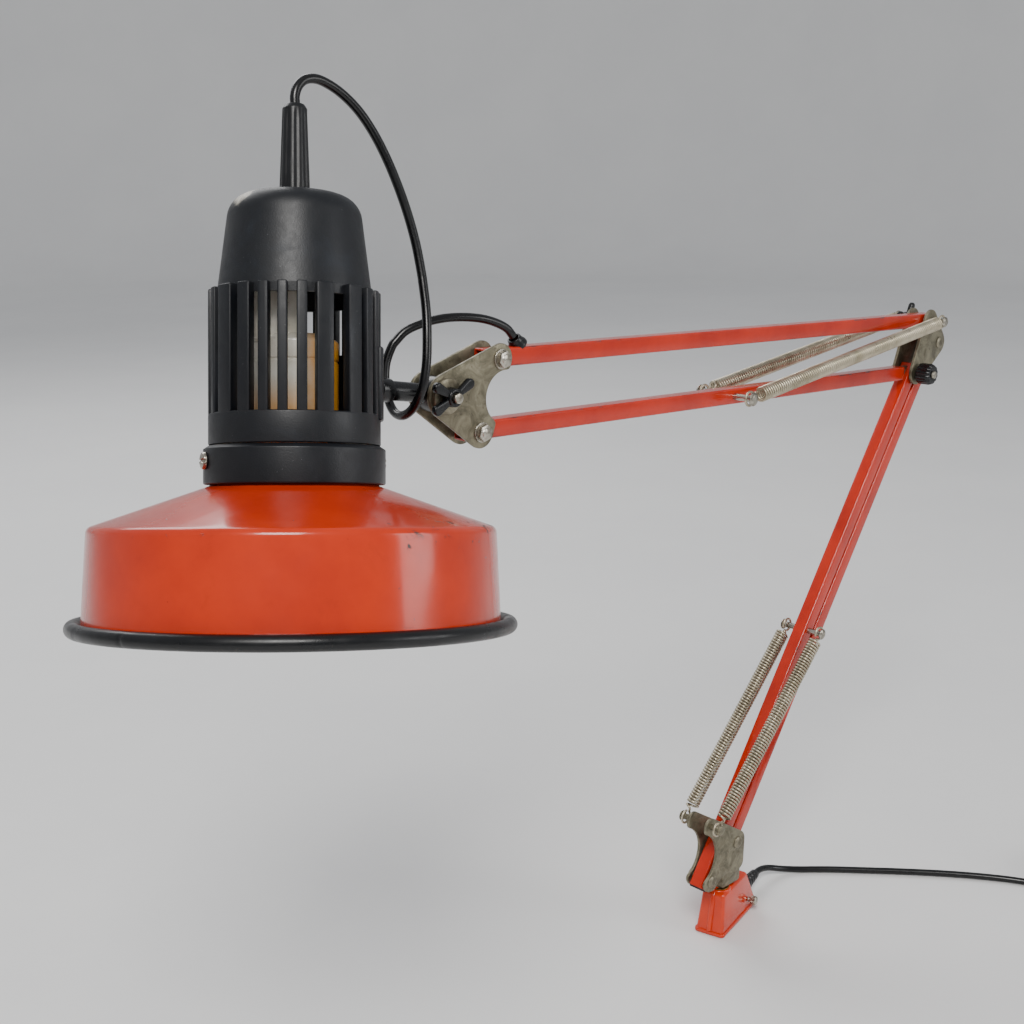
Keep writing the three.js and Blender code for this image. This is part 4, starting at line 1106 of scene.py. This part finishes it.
def make_collar():
    lip, bore = COLLAR_TOP + 0.65, COLLAR_R - 3.2
    profile = rounded([(bore, COLLAR_BOTTOM), (COLLAR_R, COLLAR_BOTTOM), (COLLAR_R, COLLAR_TOP - 0.9),
                       (FIN_R - 0.2, lip), (bore, lip)], [0.3, 0.9, 0.8, 0.3, 0.2], True, 5)
    turned("collar_ring", profile, 144, PLASTIC, "head", HEAD_FRAME, sharp=40)
    for index, angle in enumerate(SCREW_ANGLES):
        bm = bmesh.new()
        head = rounded([(0, -7), (1.9, -7), (1.9, 1.5), (4, 1.5), (3.7, 3.2), (1.4, 4.0), (0, 4.05)],
                       [0, 0.3, 0, 0.4, 1.0, 0.6, 0], False, 5)
        lathe(bm, head, 48, False)
        place = HEAD_FRAME @ turn(angle, "Z") @ at(COLLAR_R - 1.4, 0, SCREW_HEIGHT) @ TO_X
        for v in bm.verts:
            if abs(v.co.x) < 0.55 and v.co.z > 2.6:
                v.co.z -= 0.7
        piece(f"collar_screw_{index + 1}", bm, BRIGHT, "head", place)


def shade_profile(inset):
    neck_r, cone_top, bend = 36.9, -46.4, 3.6
    crease_r, crease_z = SHADE_CREASE
    rim_r, rim_z = SHADE_RIM
    slope = math.atan2(cone_top - crease_z, crease_r - neck_r)
    centre = Vector((crease_r - bend, crease_z - bend))
    points = [Vector((neck_r - inset, -31)), Vector((neck_r - inset, cone_top - inset * 0.6 + 1.0)),
              Vector((neck_r - inset + 1.0, cone_top - inset * 0.8))]
    for k in range(9):
        angle = pi / 2 - slope + (slope - pi / 2 + radians(2)) * k / 8
        points.append(centre + Vector((cos(angle), sin(angle))) * (bend - inset))
    points.append(Vector((rim_r - inset, rim_z - inset * 0.6)))
    return points


def filled(points, step=3.0):
    """The same line with long runs divided, so that a wobble can bend them."""
    done = []
    for a, b in zip(points, points[1:]):
        parts = max(1, int((b - a).length / step))
        done += [a.lerp(b, k / parts) for k in range(parts)]
    return done + [points[-1]]


def make_shade():
    """Spun steel: a cone, a rolled crease and a near-straight skirt, enamelled white inside."""
    def wavy(a, r, z):
        low = max(0.0, (SHADE_CREASE[1] - z) / 44.0)
        waver = noise.noise(Vector((cos(a) * 1.5, sin(a) * 1.5, z * 0.012)))
        return r + (0.25 + 0.25 * low) * waver

    thick, lining = 0.62, 1.2
    for name, one_side, other_side, look, nodes in (
            ("shade", 0.0, thick, ENAMEL_SHADE, ["shade"]),
            ("shade_lining", lining, lining - thick * 0.9, REFLECTOR, [])):
        bm = bmesh.new()
        profile = filled(shade_profile(one_side)) + filled(shade_profile(other_side))[::-1]
        lathe(bm, profile, 192, True, wavy)
        piece(name, bm, look, "head", HEAD_FRAME, nodes, 40)

    lip = math.asin(BEAD_SLOT_HALF / BEAD_R)
    ring = []
    for k in range(29):
        a = pi + lip + (2 * pi - 2 * lip) * k / 28
        ring.append(BEAD_MIDDLE + Vector((cos(a), sin(a))) * BEAD_R)
    ring += [BEAD_MIDDLE + Vector((0.6, BEAD_SLOT_HALF)), BEAD_MIDDLE + Vector((0.6, -BEAD_SLOT_HALF))]
    splice = radians(189)

    def spliced(a, r, z):
        away = abs((a - splice + pi) % (2 * pi) - pi)
        dip = 0.35 * math.exp(-(away / 0.012) ** 2)
        waver = 0.12 * noise.noise(Vector((cos(a) * 4, sin(a) * 4, 3.7)))
        return BEAD_MIDDLE.x + (r - BEAD_MIDDLE.x) * (1 - dip / BEAD_R) + waver

    turned("rim_bead", ring, 720, RUBBER, "head", HEAD_FRAME, wobble=spliced, sharp=60)


def make_lampholder():
    bm = bmesh.new()
    bore = 12.2
    drum = rounded([(bore, -14), (19.5, -14), (19.5, 8.4), (18.8, 9.2), (19.5, 10), (19.5, 18),
                    (14.5, 21)], [0.4, 1.4, 0.3, 0.3, 0.3, 1.6, 0.8], False, 4)
    upper = rounded([(4.9, 21), (4.9, 80.5), (3, 80.5), (3, 19), (bore, 19)],
                    [0, 0.3, 0.2, 0.3, 0.4], False, 4)
    lathe(bm, list(drum) + list(upper), 96)
    block = bmesh.new()
    box(block, -2.8, 18.6, -8, 12, 17, 50)
    soften(block, 2.2, 5)
    bmesh.ops.transform(block, matrix=turn(143, "Z"), verts=block.verts)
    join_into(bm, block)
    piece("lampholder", bm, PORCELAIN, "head", HEAD_FRAME, sharp=40)

    cap = [(0, -14.2), (11.5, -14.2)]
    for k in range(6):
        z = -12.5 + 3.4 * k
        cap += [(11.5, z), (10.7, z + 1.7)]
    cap += [(11.3, 7), (8, 8.4), (4.4, 9.6), (3.6, 10), (0, 10)]
    turned("bulb_cap", rounded(cap, 0.5, False, 3), 96, BRIGHT, "head", HEAD_FRAME, closed=False)

    around = [radians(a) for a in range(0, 132, 4)]
    glass = [(BULB_R * sin(a), BULB_MIDDLE - BULB_R * cos(a)) for a in around]
    glass += [(18.6, -32.5), (14.8, -25), (12.2, -18), (11.4, -14.6), (0, -14.6)]
    turned("bulb_glass", glass, 96, AMBER, "head", HEAD_FRAME, closed=False)


def make_gland():
    """The tapered strain relief on the cap, with shallow upright flutes."""
    base, length = CAP_TOP, GLAND_LENGTH
    outer = [(4.4, base - 2.3), (6.9, base + 0.3), (6.9, base + 3)]
    outer += [(6.9 - 1.3 * k / 12, base + 3 + 36.3 * k / 12) for k in range(1, 13)]
    outer += [(4.3, base + length), (2.55, base + length), (2.55, base - 2.3)]
    low, high = base + 2.5, base + length - 3

    def flutes(a, r, z):
        return r - (0.42 * (0.5 + 0.5 * cos(9 * a)) ** 2 if low < z < high and r > 5 else 0)

    turned("cord_gland", rounded(outer, 0.4, True, 3), 144, RUBBER, "head", HEAD_FRAME, wobble=flutes)


# ---- cords
def cord_tube(name, route, body, nodes):
    bm = bmesh.new()
    sweep(bm, route, CORD_R, 20)
    return piece(name, bm, CORD, body, HERE, nodes)


def head_flex():
    """The flex from the cap's gland round behind the stem and into the top tube, in three runs."""
    plans = (
        ("head_flex_a", FLEX_HEAD + FLEX_KNUCKLE[:1], "head", "head_knuckle"),
        ("head_flex_b", FLEX_KNUCKLE + FLEX_BRACKET[:1], "head_knuckle", "head_bracket"),
        ("head_flex_c", FLEX_BRACKET, "head_bracket", "upper_tube_top"),
    )
    for name, points, first, last in plans:
        route = spline(points, 6)
        made = cord_tube(name, route, None, [name])
        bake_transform(made)


def ease(share):
    share = min(1.0, max(0.0, share))
    return share * share * (3 - 2 * share)


# The coil, as (angle from, angle to, value): the cord spirals in on the bench, out on the
# second layer and in on the third, then crosses over the top to the plug.
LANES = (31.25, 26.0, 20.75)
LAYERS = (2.25, 7.05, 11.85, 16.6)
ARRIVAL = 205.0
ARRIVAL_R = 37.2
RADIUS_SHIFTS = (
    (205, 345, LANES[0]), (565, 705, LANES[1]), (925, 1065, LANES[2]), (1435, 1575, LANES[1]),
    (1795, 1935, LANES[0]), (2305, 2445, LANES[1]), (2665, 2805, LANES[2]), (2865, 3130, 37.0),
    (3130, 3220, 38.5),
)
HEIGHT_SHIFTS = (
    (1215, 1285, LAYERS[1]), (2085, 2155, LAYERS[2]), (2805, 2865, LAYERS[3]), (3130, 3218, 6.5),
)


def along_shifts(angle, value, shifts):
    for start, end, target in shifts:
        value += (target - value) * ease((angle - start) / (end - start))
    return value


def coil_route():
    points = []
    for k in range(int((3220 - ARRIVAL) / 10) + 1):
        angle = ARRIVAL + 10 * k
        r = along_shifts(angle, ARRIVAL_R, RADIUS_SHIFTS)
        z = along_shifts(angle, LAYERS[0], HEIGHT_SHIFTS)
        a = radians(angle)
        points.append(Vector((COIL_CENTRE.x + r * cos(a), COIL_CENTRE.y + r * sin(a), z)))
    return points


PLUG_FRAME = at(COIL_CENTRE.x + PLUG_FROM_COIL[0], COIL_CENTRE.y + PLUG_FROM_COIL[1],
                PLUG_HALF_HEIGHT) @ turn(PLUG_TURN, "Z")


def mains_cord(with_pieces):
    """Out of the foot's boot, along the bench, round the coil and into the plug."""
    start = FOOT_FRAME @ Vector((62.5, 0, CORD_EXIT_HEIGHT))
    plug_end = (PLUG_FRAME @ Vector((-0.037, 0, 0))) / MM
    route = spline([start] + [Vector(p) for p in CORD_TAIL[:-1]] + coil_route() + [plug_end], 3)
    made = cord_tube("mains_cord", route, "foot", ["cord_tail", "cord_coil"])


def make_plug():
    """A two-pin plug lying beside the coil, with a ribbed boot; the pins keep their CAD shape."""
    bm = bmesh.new()
    shell = [(-17, -8), (7.5, -12.5), (17, -12.5), (17, 12.5), (7.5, 12.5), (-17, 8)]
    outline = rounded([(x, -y) for x, y in shell], 2.2, True, 5)
    moved(bm, turn(-90, "X"), prism, outline, -PLUG_HALF_HEIGHT, PLUG_HALF_HEIGHT)
    soften(bm, 1.6, 4, 50)
    grip = bmesh.new()
    for k in range(4):
        x = -9 + 4.2 * k
        reach = 9.9 + 0.77 * k
        box(grip, x, x + 1.8, -reach, reach, -4.2, 4.2)
    soften(grip, 0.5, 2)
    join_into(bm, grip)
    boot = [(2.4, -39), (3.1, -39)]
    for k in range(5):
        x = -36.4 + 4.1 * k
        r = 3.2 + 0.26 * k
        boot += [(r, x), (r - 0.4, x + 0.7), (r - 0.4, x + 1.3), (r + 0.1, x + 2.2)]
    boot += [(4.7, -15), (2.4, -15)]
    moved(bm, TO_X, lathe, rounded(boot, 0.4, True, 3), 40)
    body = piece("plug_body", bm, PLUG_RUBBER, "foot", PLUG_FRAME, sharp=40)
    tie = bmesh.new()
    loop = rounded([(17.6, -0.1), (34.2, -0.1), (34.2, 14.7), (17.6, 14.7)], 3.2, True, 6)
    inner = rounded([(18.1, 0.35), (33.7, 0.35), (33.7, 14.2), (18.1, 14.2)], 2.8, True, 6)
    rims = []
    for y in (-3.2, 3.2):
        rims.append([[tie.verts.new((p[0], y, p[1])) for p in line] for line in (loop, inner)])
    count = len(loop)
    for k in range(count):
        n = (k + 1) % count
        (a, b), (c, d) = rims
        for quad in ((a[k], a[n], c[n], c[k]), (b[n], b[k], d[k], d[n]),
                     (a[n], a[k], b[k], b[n]), (c[k], c[n], d[n], d[k])):
            tie.faces.new(quad)
    place = at(COIL_CENTRE.x, COIL_CENTRE.y, 0) @ turn(TIE_TURN, "Z")
    strap = piece("coil_tie", tie, RUBBER, "foot", place, [])
    return [body, strap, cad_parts["plug_pin_a"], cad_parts["plug_pin_b"]]


# ---- camera, light and floor
def make_camera():
    camera = bpy.data.cameras.new("camera")
    camera.lens = 50.98
    camera.sensor_width = 36
    camera.clip_end = 200
    obj = bpy.data.objects.new("camera", camera)
    obj.location = (-0.7212, -0.52362, 0.52653)
    obj.rotation_euler = (radians(75), 0, radians(-45))
    bpy.context.scene.collection.objects.link(obj)
    bpy.context.scene.camera = obj


def area_light(name, place, target, size, power, colour=(1, 1, 1)):
    data = bpy.data.lights.new(name, "AREA")
    data.shape = "RECTANGLE"
    data.size, data.size_y = size
    data.energy = power
    data.color = colour
    obj = bpy.data.objects.new(name, data)
    obj.location = place
    obj.rotation_euler = (Vector(target) - Vector(place)).to_track_quat("-Z", "Y").to_euler()
    bpy.context.scene.collection.objects.link(obj)


def make_studio():
    world = bpy.data.worlds.new("studio")
    world.use_nodes = True
    world.node_tree.nodes["Background"].inputs["Color"].default_value = (0.93, 0.95, 1.0, 1)
    world.node_tree.nodes["Background"].inputs["Strength"].default_value = 0.5
    bpy.context.scene.world = world
    area_light("key", (-1.5, -1.2, 2.1), (-0.05, 0, 0.28), (0.9, 0.9), 52, (1, 0.98, 0.95))
    area_light("fill", (0.9, -1.9, 0.9), (0, 0, 0.28), (0.9, 0.9), 12)
    area_light("rim", (0.3, 1.8, 1.7), (0, 0, 0.3), (1.6, 1.0), 22)

    look = Look("floor", Metallic=0.0, IOR=1.45)
    tone = look.step(look.noise(3, 4, 0.6), 0.3, 0.7)
    look.finished(look.mix(tone, (0.80, 0.80, 0.79, 1), (0.77, 0.77, 0.765, 1)),
                  look.step(look.noise(40, 4, 0.6), 0.3, 0.7, 0.55, 0.7))
    bm = bmesh.new()
    profile = rounded([(0, 0), (5, 0), (5, 1.5)], [0, 1.4, 0], False, 16)
    lathe(bm, profile, 96, False)
    mesh = bpy.data.meshes.new("floor")
    bm.to_mesh(mesh)
    bm.free()
    mesh.polygons.foreach_set("use_smooth", [True] * len(mesh.polygons))
    mesh.materials.append(look.material)
    floor = bpy.data.objects.new("floor", mesh)
    floor.location.z = -0.0004
    bpy.context.scene.collection.objects.link(floor)


# ---- build
def keep_cad_shape(node, look):
    """A CAD node whose shape is right keeps it and gets the better material."""
    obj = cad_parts[node]
    obj.data.materials.clear()
    obj.data.materials.append(look)


make_camera()
head_flex()
mains_cord(make_plug())
for pin in ("plug_pin_a", "plug_pin_b"):
    keep_cad_shape(pin, BRIGHT)

make_foot()
make_base()
make_arms()
make_elbow()
make_springs()
make_head_bracket()
make_stem()
make_housing()
make_collar()
make_shade()
make_lampholder()
make_gland()
make_studio()
